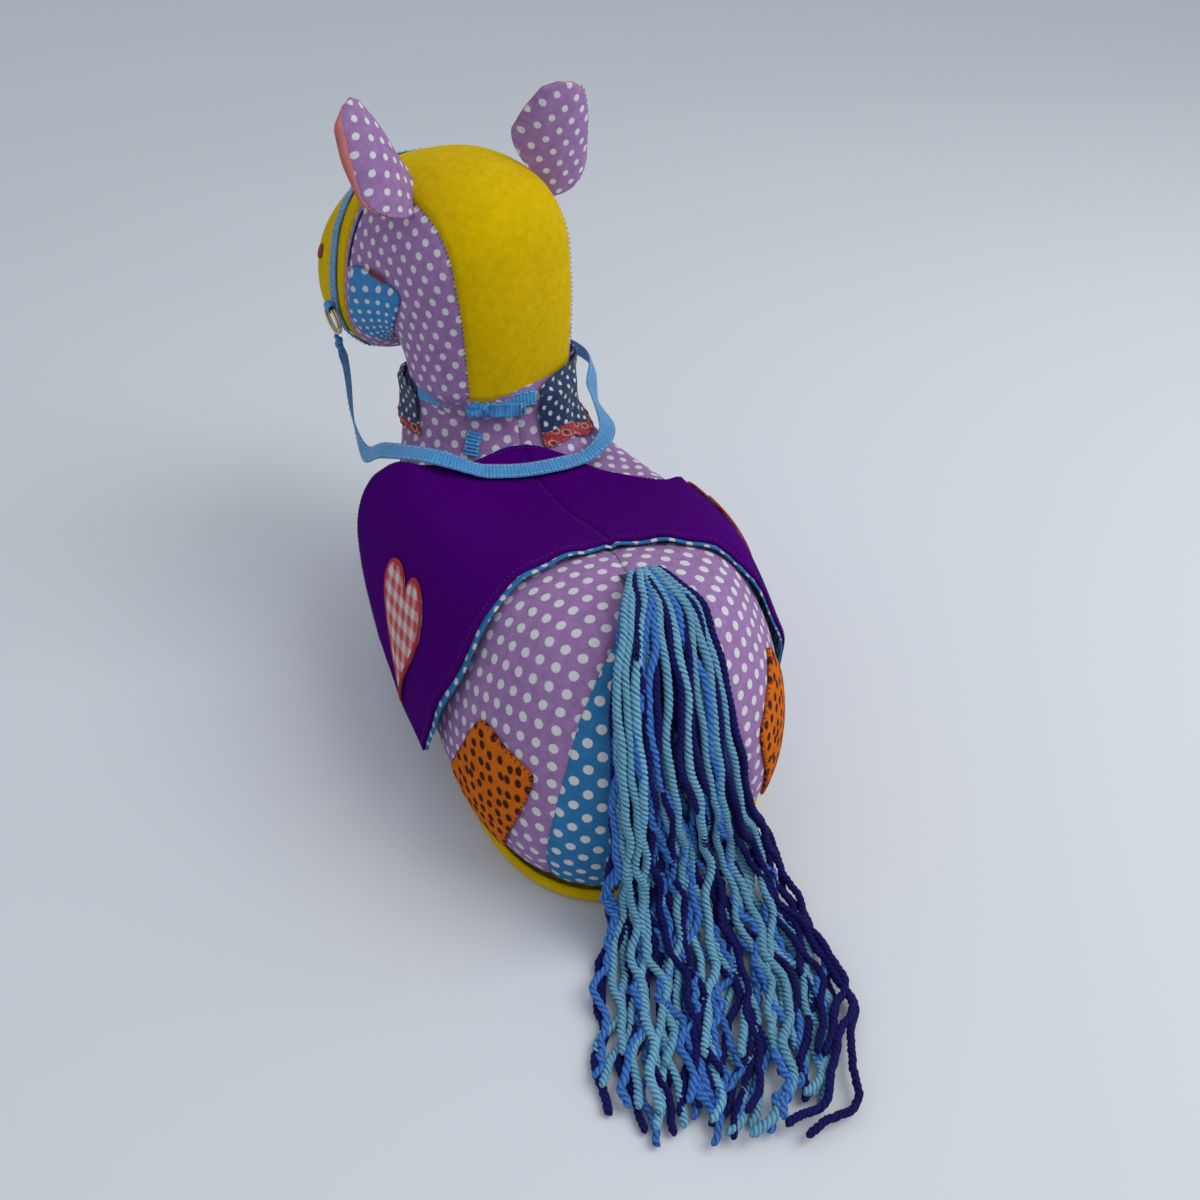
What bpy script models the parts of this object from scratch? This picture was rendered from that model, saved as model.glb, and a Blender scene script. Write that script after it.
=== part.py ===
"""A stuffed felt horse without legs: it sits on a flat base, with a saddle cloth, a ribbon bridle and a yarn tail."""

import math

import bmesh
import bpy
import numpy as np
from mathutils import Vector

# Start from an empty file
for item in list(bpy.data.objects):
    bpy.data.objects.remove(item, do_unlink=True)

# Sizes of the body, in metres
BODY_LENGTH = 0.300
BODY_HEIGHT = 0.138
BODY_HALF_WIDTH = 0.087
BASE_RISE = 0.008
NECK_SHIFT = 0.0205
BEND_REACH = 0.165
BEND_START = 0.0185
CORNER_POWER = 0.88

# Sizes of the head
HEAD_REACH = 0.144
HEAD_RISE = 0.116
HEAD_HALF_WIDTH = 0.050
HEAD_TURN = math.radians(25)
HEAD_CORNER_POWER = 0.82
NECK_SIDE = NECK_SHIFT * 0.6585
NECK_BACK = BODY_LENGTH * -0.43167
NECK_SEAM = BODY_HEIGHT * 1.08696

# Cloth and gaps
FELT = 0.0014
CLOTH = 0.0009
RIBBON = 0.0006
RIBBON_WIDTH = 0.0095
GAP = 0.0003
LAYER_GAP = 0.0005
SEAM_HALF_GAP = 0.0003
CORE_GAP = 0.0008
PATCH_LIFT = 0.0006

# Ears
EAR_LENGTH = 0.0565
EAR_HALF_WIDTH = 0.0223
EAR_BULGE = 0.0032
EAR_CUP = 0.0115
EAR_SEAT = 0.0001
EAR_DROP = 0.0035

# Bridle
RING_RADIUS = 0.0086
RING_WIRE = 0.0009
RING_STAND = 0.0030
LOOP_RADIUS = 0.0021
REIN_LIFT = 0.0050
EYE_RADIUS = 0.0052
EYE_HEIGHT = 0.0030
EYE_SEAT = -0.0004
STITCH_SEAT = 0.0001
NOSTRIL_RADIUS = 0.0050

# Saddle
SADDLE_LIFT_TOP = 0.0016
SADDLE_LIFT_EDGE = 0.0080
SADDLE_LIFT_RIGHT = 0.0045
SADDLE_FLARE_LEFT = 0.0100
HEART_SIZE = 0.0270
HEART_STRETCH = 1.25

# Tail
TAIL_WIDTH = 0.060
TAIL_DEPTH = 0.0095
TAIL_CLEAR = 0.0012
FLOOR_CLEAR = 0.0004

# Half outline of the body: place, rear y, rear z, front y, front z, half width, egg, side drop
body_profile_shares = (
    (0.00, 0.438, 0.058, -0.438, 0.058, 0.885, 0.10, 0.000),
    (0.10, 0.465, 0.246, -0.498, 0.203, 1.000, 0.10, 0.000),
    (0.22, 0.462, 0.507, -0.538, 0.348, 1.000, 0.08, 0.000),
    (0.34, 0.422, 0.768, -0.562, 0.478, 0.931, 0.04, 0.022),
    (0.46, 0.335, 0.964, -0.572, 0.594, 0.851, 0.00, 0.058),
    (0.57, 0.202, 1.000, -0.575, 0.703, 0.782, 0.00, 0.087),
    (0.68, 0.062, 0.913, -0.572, 0.797, 0.713, 0.00, 0.072),
    (0.79, -0.105, 0.797, -0.565, 0.891, 0.632, 0.00, 0.029),
    (0.88, -0.245, 0.797, -0.558, 0.971, 0.558, 0.00, 0.000),
    (0.94, -0.298, 0.899, -0.555, 1.036, 0.520, 0.00, 0.000),
    (1.00, -0.312, 1.087, -0.552, 1.087, 0.495, 0.00, 0.000),
)
# Outline of the head: place, outer forward, outer rise, inner forward, inner rise, half width
head_profile_shares = (
    (0.00, -0.245, 0.000, 0.270, 0.000, 0.920),
    (0.15, -0.258, 0.241, 0.295, 0.100, 0.925),
    (0.30, -0.262, 0.509, 0.335, 0.125, 0.940),
    (0.44, -0.225, 0.790, 0.390, 0.065, 0.985),
    (0.57, -0.060, 0.968, 0.465, -0.020, 1.000),
    (0.69, 0.210, 0.995, 0.565, -0.070, 0.985),
    (0.79, 0.455, 0.900, 0.660, -0.080, 0.915),
    (0.87, 0.670, 0.730, 0.750, -0.055, 0.820),
    (0.93, 0.820, 0.560, 0.840, -0.010, 0.680),
    (0.97, 0.910, 0.410, 0.895, 0.080, 0.480),
    (1.00, 0.940, 0.270, 0.930, 0.215, 0.080),
)
# Half angle of the rear gusset and of the head gusset, in degrees, by place
gusset_angles = ((0.0, 31.0), (0.13, 28.0), (0.25, 24.0), (0.34, 20.0), (0.41, 13.0), (0.46, 6.0), (0.49, 0.0))
crown_angles = ((0.0, 48.0), (0.25, 50.0), (0.37, 50.0), (0.5, 47.0), (0.7, 44.0), (0.87, 40.0))
# Base rim: scale of the outline, and share of the rise
base_rim_shares = ((1.0, 0.96), (0.993, 0.55), (0.975, 0.22), (0.950, 0.05), (0.925, 0.0))
# Rows and columns of the skins
BODY_ROWS = (
    0.0, 0.05, 0.12, 0.20, 0.27, 0.34, 0.40, 0.445, 0.49, 0.55,
    0.62, 0.69, 0.75, 0.80, 0.84, 0.88, 0.915, 0.945, 0.972, 1.0,
)
GUSSET_COLUMNS = 6
SIDE_COLUMNS = 11
HEAD_ROWS = (0.0, 0.12, 0.24, 0.34, 0.43, 0.51, 0.59, 0.665, 0.735)
MUZZLE_ROWS = (0.735, 0.79, 0.84, 0.885, 0.925, 0.955, 0.98, 1.0)
MUZZLE_SEAM = 0.735
CROWN_COLUMNS = 7
CHEEK_COLUMNS = 8


def spline(rows, places):
    """Values of a table at any place, by cubic pieces through its rows."""
    table = np.asarray(rows, float)
    knots, values = table[:, 0], table[:, 1:]
    slope = np.gradient(values, knots, axis=0)
    places = np.asarray(places, float)
    i = np.clip(np.searchsorted(knots, places, side="right") - 1, 0, len(knots) - 2)
    width = (knots[i + 1] - knots[i])[..., None]
    s = (places - knots[i])[..., None] / width
    lower = (2 * s**3 - 3 * s**2 + 1) * values[i] + (s**3 - 2 * s**2 + s) * width * slope[i]
    upper = (3 * s**2 - 2 * s**3) * values[i + 1] + (s**3 - s**2) * width * slope[i + 1]
    return lower + upper


def body_point(angle, place):
    """Point of the body's skin. Angle 0 is the rear line, 90 degrees the horse's left; place 0 is the base seam."""
    rear_y, rear_z, front_y, front_z, width, egg, drop = np.moveaxis(spline(body_profile_shares, place), -1, 0)
    rear_y, front_y = rear_y * BODY_LENGTH, front_y * BODY_LENGTH
    rear_z, front_z = rear_z * BODY_HEIGHT, front_z * BODY_HEIGHT
    side = np.sign(np.sin(angle)) * np.abs(np.sin(angle)) ** CORNER_POWER
    back = np.sign(np.cos(angle)) * np.abs(np.cos(angle)) ** CORNER_POWER
    x = BODY_HALF_WIDTH * width * side * (1 + egg * back) / (1 + egg * egg)
    share = (1 + back) / 2
    y = front_y + (rear_y - front_y) * share
    z = front_z + (rear_z - front_z) * share
    length = np.hypot(rear_z - front_z, rear_y - front_y)
    fall = drop * BODY_HEIGHT * np.sin(angle) ** 2
    y = y + (rear_z - front_z) / length * fall
    z = z - (rear_y - front_y) / length * fall
    x = x + NECK_SHIFT * ((y - BEND_START) / BEND_REACH) ** 2
    return np.stack([x, y, z], -1)


def head_point(angle, place):
    """Point of the head's skin. Angle 0 is the line over nape and forehead; place 0 is the neck seam."""
    outer_f, outer_z, inner_f, inner_z, width = np.moveaxis(spline(head_profile_shares, place), -1, 0)
    side = HEAD_HALF_WIDTH * width * np.sign(np.sin(angle)) * np.abs(np.sin(angle)) ** HEAD_CORNER_POWER
    share = (1 + np.sign(np.cos(angle)) * np.abs(np.cos(angle)) ** HEAD_CORNER_POWER) / 2
    forward = HEAD_REACH * (inner_f + (outer_f - inner_f) * share)
    z = NECK_SEAM + HEAD_RISE * (inner_z + (outer_z - inner_z) * share)
    x = NECK_SIDE + side * math.cos(HEAD_TURN) + forward * math.sin(HEAD_TURN)
    y = NECK_BACK - forward * math.cos(HEAD_TURN) + side * math.sin(HEAD_TURN)
    return np.stack([x, y, z], -1)


def lifted(surface, angle, place, lift):
    """Points a given distance outside a skin, along its normal."""
    angle, place = np.broadcast_arrays(np.asarray(angle, float), np.asarray(place, float))
    step = 1e-3
    low, high = np.clip(place - step, 0, 1), np.clip(place + step, 0, 1)
    across = surface(angle + step, place) - surface(angle - step, place)
    along = surface(angle, high) - surface(angle, low)
    normal = np.cross(along, across)
    normal = normal / np.linalg.norm(normal, axis=-1, keepdims=True)
    return surface(angle, place) + normal * np.asarray(lift, float)[..., None]


# Collections, materials and parts
parts = bpy.data.collections.new("plush_horse")
bpy.context.scene.collection.children.link(parts)
cutters = bpy.data.collections.new("cutters")
bpy.context.scene.collection.children.link(cutters)


def material(name, colour, roughness=0.9, metallic=0.0):
    """One Principled material a part."""
    made = bpy.data.materials.new(name)
    made.use_nodes = True
    shader = made.node_tree.nodes["Principled BSDF"]
    shader.inputs["Base Color"].default_value = (*colour, 1.0)
    shader.inputs["Roughness"].default_value = roughness
    shader.inputs["Metallic"].default_value = metallic
    return made


LILAC = (0.36, 0.23, 0.44)
GUSSET_BLUE = (0.06, 0.26, 0.52)
YELLOW = (0.78, 0.54, 0.02)
VIOLET = (0.10, 0.01, 0.22)
RIBBON_BLUE = (0.08, 0.36, 0.68)
DENIM = (0.03, 0.09, 0.24)
CORAL = (0.72, 0.22, 0.19)
ORANGE = (0.66, 0.19, 0.02)
CHECK_RED = (0.70, 0.12, 0.10)
STUFFING = (0.85, 0.84, 0.80)
NAVY = (0.01, 0.01, 0.06)
BRASS = (0.72, 0.60, 0.34)
YARN = (0.10, 0.22, 0.48)


def place_part(name, mesh, colour, roughness=0.9, metallic=0.0):
    """A named object in the part's collection, with its own material."""
    part = bpy.data.objects.new(name, mesh)
    parts.objects.link(part)
    mesh.materials.append(material(name, colour, roughness, metallic))
    return part


def tidy(mesh, smooth=True):
    """Join points that fall together, and face the mesh outward."""
    form = bmesh.new()
    form.from_mesh(mesh)
    bmesh.ops.remove_doubles(form, verts=form.verts, dist=GAP / 6)
    bmesh.ops.dissolve_degenerate(form, edges=form.edges, dist=GAP / 6)
    bmesh.ops.recalc_face_normals(form, faces=form.faces)
    form.to_mesh(mesh)
    form.free()
    if smooth:
        mesh.shade_smooth()
        mesh.set_sharp_from_angle(angle=math.radians(50))
    return mesh


def grid_mesh(name, points, wrap=False):
    """An open sheet through a grid of points."""
    rows, columns = points.shape[:2]
    mesh = bpy.data.meshes.new(name)
    corner = np.arange(rows * columns).reshape(rows, columns)
    left = corner if wrap else corner[:, :-1]
    right = np.roll(corner, -1, axis=1) if wrap else corner[:, 1:]
    faces = np.stack([left[:-1], right[:-1], right[1:], left[1:]], -1).reshape(-1, 4)
    mesh.from_pydata(points.reshape(-1, 3).tolist(), [], faces.tolist())
    return mesh


def face_outward(mesh, away_from):
    """Turn an open sheet so that it faces away from a point inside."""
    form = bmesh.new()
    form.from_mesh(mesh)
    bmesh.ops.remove_doubles(form, verts=form.verts, dist=GAP / 6)
    bmesh.ops.dissolve_degenerate(form, edges=form.edges, dist=GAP / 6)
    bmesh.ops.recalc_face_normals(form, faces=form.faces)
    inside = Vector(away_from)
    lean = sum((face.calc_center_median() - inside).dot(face.normal) * face.calc_area() for face in form.faces)
    if lean < 0:
        bmesh.ops.reverse_faces(form, faces=form.faces)
    form.to_mesh(mesh)
    form.free()


def shell(name, points, thickness, colour, inside, wrap=False, roughness=0.9):
    """A cloth piece: a sheet given its thickness on the inner side."""
    mesh = grid_mesh(name, points, wrap)
    face_outward(mesh, inside)
    part = place_part(name, mesh, colour, roughness)
    solid = part.modifiers.new("thickness", "SOLIDIFY")
    solid.thickness = thickness
    solid.offset = -1
    mesh.shade_smooth()
    return part


def solid_between(name, first, second, colour, roughness=0.9):
    """A closed piece between two grids of the same size, their quads halved along the same diagonal."""
    rows, columns = first.shape[:2]
    count = rows * columns
    corner = np.arange(count).reshape(rows, columns)
    near, far = corner[:-1, :-1], corner[1:, 1:]
    halves = [np.stack([near, corner[:-1, 1:], far], -1), np.stack([near, far, corner[1:, :-1]], -1)]
    top = np.concatenate([half.reshape(-1, 3) for half in halves])
    rim = np.concatenate([corner[0, :], corner[1:, -1], corner[-1, :-1][::-1], corner[1:-1, 0][::-1]])
    after = np.roll(rim, -1)
    side = np.stack([rim, after, after + count, rim + count], -1)
    faces = top.tolist() + (top[:, ::-1] + count).tolist() + side.tolist()
    mesh = bpy.data.meshes.new(name)
    both = np.concatenate([first.reshape(-1, 3), second.reshape(-1, 3)])
    mesh.from_pydata(both.tolist(), [], faces)
    return place_part(name, tidy(mesh), colour, roughness)


def closed_tube(name, rings, colour, roughness=0.9):
    """A closed piece through rings of points, with flat ends."""
    mesh = grid_mesh(name, rings, wrap=True)
    form = bmesh.new()
    form.from_mesh(mesh)
    form.verts.ensure_lookup_table()
    columns = rings.shape[1]
    first = [form.verts[i] for i in range(columns)]
    last = [form.verts[len(form.verts) - columns + i] for i in range(columns)]
    form.faces.new(first)
    form.faces.new(last)
    form.to_mesh(mesh)
    form.free()
    return place_part(name, tidy(mesh), colour, roughness)


def gusset_half(place):
    """Half angle of the rear gusset, in radians."""
    table = np.asarray(gusset_angles)
    return np.radians(np.interp(place, table[:, 0], table[:, 1]))


def crown_half(place):
    """Half angle of the head gusset, in radians."""
    table = np.asarray(crown_angles)
    return np.radians(np.interp(place, table[:, 0], table[:, 1]))


def seam_step(surface, angle, place):
    """Angle that half a seam's gap takes up on a skin."""
    step = 1e-3
    speed = np.linalg.norm(surface(angle + step, place) - surface(angle - step, place), axis=-1) / (2 * step)
    return SEAM_HALF_GAP / speed


def strip_angles(surface, places, start, end, columns):
    """Angles of a panel, drawn in from its two seams."""
    start = start + seam_step(surface, start, places)
    end = end - seam_step(surface, end, places)
    share = np.linspace(0, 1, columns + 1)
    return start[:, None] + (end - start)[:, None] * share[None, :]


body_middle = (0.0, 0.0, BODY_HEIGHT / 2)
head_middle = tuple(head_point(0.0, 0.45) * 0.5 + head_point(math.pi, 0.45) * 0.5)

# Filling of the body: rings under the skins, drawn in under the base
rows = np.array(BODY_ROWS)
half = gusset_half(rows)
ring = [np.linspace(-h, h, GUSSET_COLUMNS + 1)[:-1] for h in half]
angles = np.array([
    np.concatenate([
        np.linspace(-h, h, GUSSET_COLUMNS + 1)[:-1],
        np.linspace(h, math.pi, SIDE_COLUMNS + 1)[:-1],
        np.linspace(math.pi, 2 * math.pi - h, SIDE_COLUMNS + 1)[:-1],
    ])
    for h in np.maximum(half, math.radians(2))
])
core = lifted(body_point, angles, np.repeat(rows[:, None], angles.shape[1], 1), -(FELT + CORE_GAP) * np.ones(angles.shape))
core[-1, :, 2] = NECK_SEAM - GAP
base_loop = body_point(angles[0], np.zeros(angles.shape[1]))
centre = base_loop.mean(axis=0)
under = []
for scale, rise in reversed(base_rim_shares[1:]):
    row = centre + (base_loop - centre) * (scale - 1.7 * (FELT + CORE_GAP) / BODY_HALF_WIDTH)
    row[:, 2] = BASE_RISE * rise + FELT + CORE_GAP
    under.append(row)
closed_tube("body_stuffing", np.concatenate([np.array(under), core[1:]]), STUFFING)

# Skins of the body
upper = rows.copy()
upper[0] = 0.002
left = strip_angles(body_point, upper, half, np.full(len(rows), math.pi), SIDE_COLUMNS)
right = strip_angles(body_point, upper, np.full(len(rows), math.pi), 2 * math.pi - half, SIDE_COLUMNS)
shell("side_panel_left", body_point(left, upper[:, None]), FELT, LILAC, body_middle)
shell("side_panel_right", body_point(right, upper[:, None]), FELT, LILAC, body_middle)
low = np.append(upper[rows < 0.47], 0.476)
low_half = gusset_half(low)
low_half[-1] *= 0.4
low_angles = strip_angles(body_point, low, -low_half, low_half, GUSSET_COLUMNS)
shell("rear_gusset", body_point(low_angles, low[:, None]), FELT, GUSSET_BLUE, body_middle)

# Base: a rim that curves under, and a flat floor
base_rows = []
for scale, rise in base_rim_shares:
    row = centre + (base_loop - centre) * scale
    row[:, 2] = BASE_RISE * rise
    base_rows.append(row)
base_mesh = grid_mesh("base_panel", np.array(base_rows), wrap=True)
form = bmesh.new()
form.from_mesh(base_mesh)
form.verts.ensure_lookup_table()
form.faces.new([form.verts[len(form.verts) - angles.shape[1] + i] for i in range(angles.shape[1])])
form.to_mesh(base_mesh)
form.free()
face_outward(base_mesh, body_middle)
base = place_part("base_panel", base_mesh, YELLOW)
base_solid = base.modifiers.new("thickness", "SOLIDIFY")
base_solid.thickness = FELT
base_solid.offset = -1

# Filling and skins of the head
head_rows = np.array(HEAD_ROWS)
muzzle_rows = np.array(MUZZLE_ROWS)
all_rows = np.concatenate([head_rows, muzzle_rows[1:]])
crown = crown_half(all_rows)
head_angles = np.array([
    np.concatenate([
        np.linspace(-h, h, CROWN_COLUMNS + 1)[:-1],
        np.linspace(h, math.pi, CHEEK_COLUMNS + 1)[:-1],
        np.linspace(math.pi, 2 * math.pi - h, CHEEK_COLUMNS + 1)[:-1],
    ])
    for h in crown
])
head_places = np.repeat(all_rows[:, None], head_angles.shape[1], 1)
head_core = lifted(head_point, head_angles, head_places, -(FELT + CORE_GAP) * np.ones(head_angles.shape))
head_core[0, :, 2] = NECK_SEAM + GAP
closed_tube("head_stuffing", head_core[:-1], STUFFING)

head_upper = head_rows.copy()
head_upper[0] = 0.004
head_upper[-1] = MUZZLE_SEAM - 0.004
crown = crown_half(head_rows)
left = strip_angles(head_point, head_upper, crown, np.full(len(crown), math.pi), CHEEK_COLUMNS)
right = strip_angles(head_point, head_upper, np.full(len(crown), math.pi), 2 * math.pi - crown, CHEEK_COLUMNS)
over = strip_angles(head_point, head_upper, -crown, crown, CROWN_COLUMNS)
shell("head_side_left", head_point(left, head_upper[:, None]), FELT, LILAC, head_middle)
shell("head_side_right", head_point(right, head_upper[:, None]), FELT, LILAC, head_middle)
shell("head_gusset", head_point(over, head_upper[:, None]), FELT, YELLOW, head_middle)

nose_points = head_point(head_angles[-len(muzzle_rows):], muzzle_rows[:, None])
nose_mesh = grid_mesh("muzzle_cover", nose_points, wrap=True)
form = bmesh.new()
form.from_mesh(nose_mesh)
form.verts.ensure_lookup_table()
form.faces.new([form.verts[len(form.verts) - head_angles.shape[1] + i] for i in range(head_angles.shape[1])])
form.to_mesh(nose_mesh)
form.free()
face_outward(nose_mesh, tuple(nose_points[0].mean(axis=0)))
nose = place_part("muzzle_cover", nose_mesh, YELLOW)
nose_solid = nose.modifiers.new("thickness", "SOLIDIFY")
nose_solid.thickness = FELT
nose_solid.offset = -1


def move_origin(part, point):
    """Put an object's origin on a point, and leave its shape where it is."""
    shift = Vector([float(value) for value in point])
    for vertex in part.data.vertices:
        vertex.co -= shift
    part.location = shift
    return part


def area_outline(surface, centre, outline):
    """Angles and places of an outline given in metres round a point of a skin."""
    angle, place = centre
    step = 1e-3
    across = np.linalg.norm(surface(angle + step, place) - surface(angle - step, place)) / (2 * step)
    along = np.linalg.norm(surface(angle, place + step) - surface(angle, place - step)) / (2 * step)
    return np.stack([angle + outline[:, 0] / across, place + outline[:, 1] / along], -1)


def along_edges(corners, count):
    """Points along the edges of a closed outline, the corners drawn in a little."""
    corners = np.asarray(corners, float)
    after = np.roll(corners, -1, axis=0)
    share = np.linspace(0.08, 0.92, count)
    return (corners[:, None, :] + (after - corners)[:, None, :] * share[None, :, None]).reshape(-1, 2)


def patch(name, surface, outline, lift, thickness, colour, rings=3, roughness=0.9):
    """A flat cloth shape that lies on a skin: rings of points out to its outline."""
    middle = outline.mean(axis=0)
    grid = np.array([middle + (outline - middle) * share for share in np.linspace(0, 1, rings + 1)])
    height = lift(grid[..., 0]) if callable(lift) else lift * np.ones(grid.shape[:2])
    points = lifted(surface, grid[..., 0], grid[..., 1], height + thickness)
    beneath = lifted(surface, middle[0], middle[1], 0.0)
    inside = beneath - (points[0, 0] - beneath) * 20
    return shell(name, points, thickness, colour, tuple(inside), wrap=True, roughness=roughness)


def saddle_lift(angle):
    """Height of the saddle's underside over the skin: the flaps stand away lower down, the left one the most."""
    turn = ((np.asarray(angle) + math.pi) % (2 * math.pi) - math.pi) / math.radians(110)
    left, right = np.clip(turn, 0, 1.2), np.clip(-turn, 0, 1.2)
    lift = SADDLE_LIFT_TOP + (SADDLE_LIFT_EDGE - SADDLE_LIFT_TOP) * left**1.5 + SADDLE_FLARE_LEFT * left**4
    return lift + (SADDLE_LIFT_RIGHT - SADDLE_LIFT_TOP) * right**1.5


# Edges of the saddle: share from the seam, angle in degrees, place
saddle_rear = ((0.0, 0, 0.62), (0.25, 22, 0.588), (0.5, 46, 0.49), (0.75, 62, 0.30), (1.0, 73, 0.125))
saddle_front = (
    (0.0, 0, 0.935), (0.25, 32, 0.905), (0.5, 70, 0.83), (0.75, 108, 0.60), (0.9, 114, 0.30), (1.0, 97, 0.14),
)


def saddle_grid(spread, columns=14, rows=9):
    """Angles and places over the saddle, from the right flap's end to the left's."""
    share = np.linspace(-1, 1, columns + 1)
    rear = spline(saddle_rear, np.abs(share))
    front = spline(saddle_front, np.abs(share))
    along = np.linspace(0, 1, rows + 1)
    along[0], along[-1] = -spread, 1 + spread
    along = along[:, None, None]
    both = rear[None] + (front - rear)[None] * along
    return np.radians(both[..., 0]) * np.sign(share)[None, :], both[..., 1]


turn, place = saddle_grid(0.006)
lining_lift = saddle_lift(turn) + CLOTH
lining_points = lifted(body_point, turn, place, lining_lift)
shell("saddle_lining", lining_points, CLOTH, GUSSET_BLUE, body_middle)
turn, place = saddle_grid(0.0)
felt_lift = saddle_lift(turn) + CLOTH + LAYER_GAP + FELT
shell("saddle_felt", lifted(body_point, turn, place, felt_lift), FELT, VIOLET, body_middle)

# Hearts, on the flaps
sweep = np.linspace(0, 2 * math.pi, 28, endpoint=False)
heart = np.stack([
    16 * np.sin(sweep) ** 3,
    (13 * np.cos(sweep) - 5 * np.cos(2 * sweep) - 2 * np.cos(3 * sweep) - np.cos(4 * sweep)) * HEART_STRETCH,
], -1) / 16 * HEART_SIZE


def heart_lift(angle):
    """Height of a heart's underside: on the felt of the flap."""
    return saddle_lift(angle) + CLOTH + LAYER_GAP + FELT + GAP * 1.5


left_heart = area_outline(body_point, (math.radians(84), 0.320), heart)
right_heart = area_outline(body_point, (math.radians(-84), 0.40), heart * np.array([-1, 1]))
patch("heart_left", body_point, left_heart, heart_lift, CLOTH, CHECK_RED)
patch("heart_right", body_point, right_heart, heart_lift, CLOTH, CHECK_RED)

# Hip patches
left_hip = np.array(((52, 0.292), (31, 0.248), (46, 0.035), (67, 0.12)))
right_hip = np.array(((-48, 0.33), (-31, 0.235), (-38, 0.06), (-63, 0.14)))
for name, corners in (("hip_patch_left", left_hip), ("hip_patch_right", right_hip)):
    outline = along_edges(corners * np.array([math.pi / 180, 1]), 5)
    patch(name, body_point, outline, PATCH_LIFT, FELT, ORANGE, rings=3)

# Cheek patches, eyes and nostrils
cheek = np.array(((88, 0.69), (88, 0.46), (128, 0.40), (142, 0.52), (112, 0.685)))
for side, name in ((1, "cheek_patch_left"), (-1, "cheek_patch_right")):
    outline = along_edges(cheek * np.array([side * math.pi / 180, 1]), 4)
    patch(name, head_point, outline, PATCH_LIFT, CLOTH, GUSSET_BLUE, rings=3)
circle = np.stack([np.cos(sweep[::2]), np.sin(sweep[::2])], -1)
for side, name in ((1, "nostril_left"), (-1, "nostril_right")):
    oval = area_outline(head_point, (math.radians(76 * side), 0.885), circle * NOSTRIL_RADIUS * np.array([0.8, 1.2]))
    patch(name, head_point, oval, PATCH_LIFT, CLOTH, CORAL, rings=2)


def frame_on(surface, angle, place, lift):
    """A point over a skin, and the skin's normal there."""
    point = lifted(surface, angle, place, lift)
    return point, (point - surface(np.float64(angle), np.float64(place))) / lift


def lens(name, surface, angle, place, radii, colour, roughness=0.3, lift=PATCH_LIFT):
    """A flattened ball that lies on a skin."""
    point, normal = frame_on(surface, angle, place, lift + radii[2])
    bpy.ops.mesh.primitive_uv_sphere_add(segments=12, ring_count=8, radius=1.0)
    ball = bpy.context.object
    mesh = ball.data
    bpy.data.objects.remove(ball)
    part = place_part(name, mesh, colour, roughness)
    part.scale = radii
    part.rotation_euler = Vector(normal).to_track_quat("Z", "Y").to_euler()
    part.location = point
    mesh.shade_smooth()
    return part


lens("eye_left", head_point, math.radians(51), 0.69, (EYE_RADIUS, EYE_RADIUS, EYE_HEIGHT), NAVY, 0.2, EYE_SEAT)
lens("eye_right", head_point, math.radians(-51), 0.69, (EYE_RADIUS, EYE_RADIUS, EYE_HEIGHT), NAVY, 0.2, EYE_SEAT)


def band(name, surface, angles, place_at, lift, width, colour, wrap=False, rows=2):
    """A ribbon along a skin: its width is measured across the line of places."""
    place = np.broadcast_to(np.asarray(place_at, float), angles.shape)
    step = 1e-3
    speed = np.linalg.norm(surface(angles, place + step) - surface(angles, place - step), axis=-1) / (2 * step)
    share = np.linspace(-0.5, 0.5, rows + 1)[:, None]
    grid = place[None] + share * (width / speed)[None]
    turns = np.broadcast_to(angles, grid.shape)
    height = np.broadcast_to(np.asarray(lift, float), grid.shape)
    return lifted(surface, turns, grid, height + RIBBON)


# Noseband, rings and their loops
NOSEBAND_PLACE = 0.79
RING_ANGLE = math.radians(108)
nose_turns = np.linspace(0, 2 * math.pi, 32, endpoint=False)
nose_band = band("noseband", head_point, nose_turns, NOSEBAND_PLACE, PATCH_LIFT, RIBBON_WIDTH, RIBBON_BLUE)
shell("noseband", nose_band, RIBBON, RIBBON_BLUE, tuple(nose_band[1].mean(axis=0)), wrap=True, roughness=0.6)
ring_centres = []
for side, name in ((1, "left"), (-1, "right")):
    centre_point, normal = frame_on(head_point, side * RING_ANGLE, NOSEBAND_PLACE, PATCH_LIFT + RIBBON + RING_STAND)
    upward = head_point(side * math.radians(60), np.float64(NOSEBAND_PLACE)) - centre_point
    upward = upward - normal * np.dot(upward, normal)
    upward = upward / np.linalg.norm(upward)
    across = np.cross(normal, upward)
    centre_point = centre_point - upward * RING_RADIUS
    ring_centres.append((centre_point, normal, upward))
    bpy.ops.mesh.primitive_torus_add(
        major_segments=24, minor_segments=8, major_radius=RING_RADIUS, minor_radius=RING_WIRE
    )
    hoop = bpy.context.object
    mesh = hoop.data
    bpy.data.objects.remove(hoop)
    ring_part = place_part("ring_" + name, mesh, BRASS, 0.25, 1.0)
    ring_part.rotation_euler = Vector(normal).to_track_quat("Z", "Y").to_euler()
    ring_part.location = centre_point
    mesh.shade_smooth()
    print("ring", name, [round(float(v), 5) for v in centre_point], [round(float(v), 5) for v in normal])
    bpy.ops.mesh.primitive_torus_add(
        major_segments=12, minor_segments=6, major_radius=LOOP_RADIUS, minor_radius=RIBBON
    )
    hoop = bpy.context.object
    mesh = hoop.data
    bpy.data.objects.remove(hoop)
    loop_part = place_part("ring_loop_" + name, mesh, RIBBON_BLUE, 0.6)
    loop_part.rotation_euler = Vector(across).to_track_quat("Z", "Y").to_euler()
    loop_part.location = centre_point + upward * RING_RADIUS
    mesh.shade_smooth()


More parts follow.
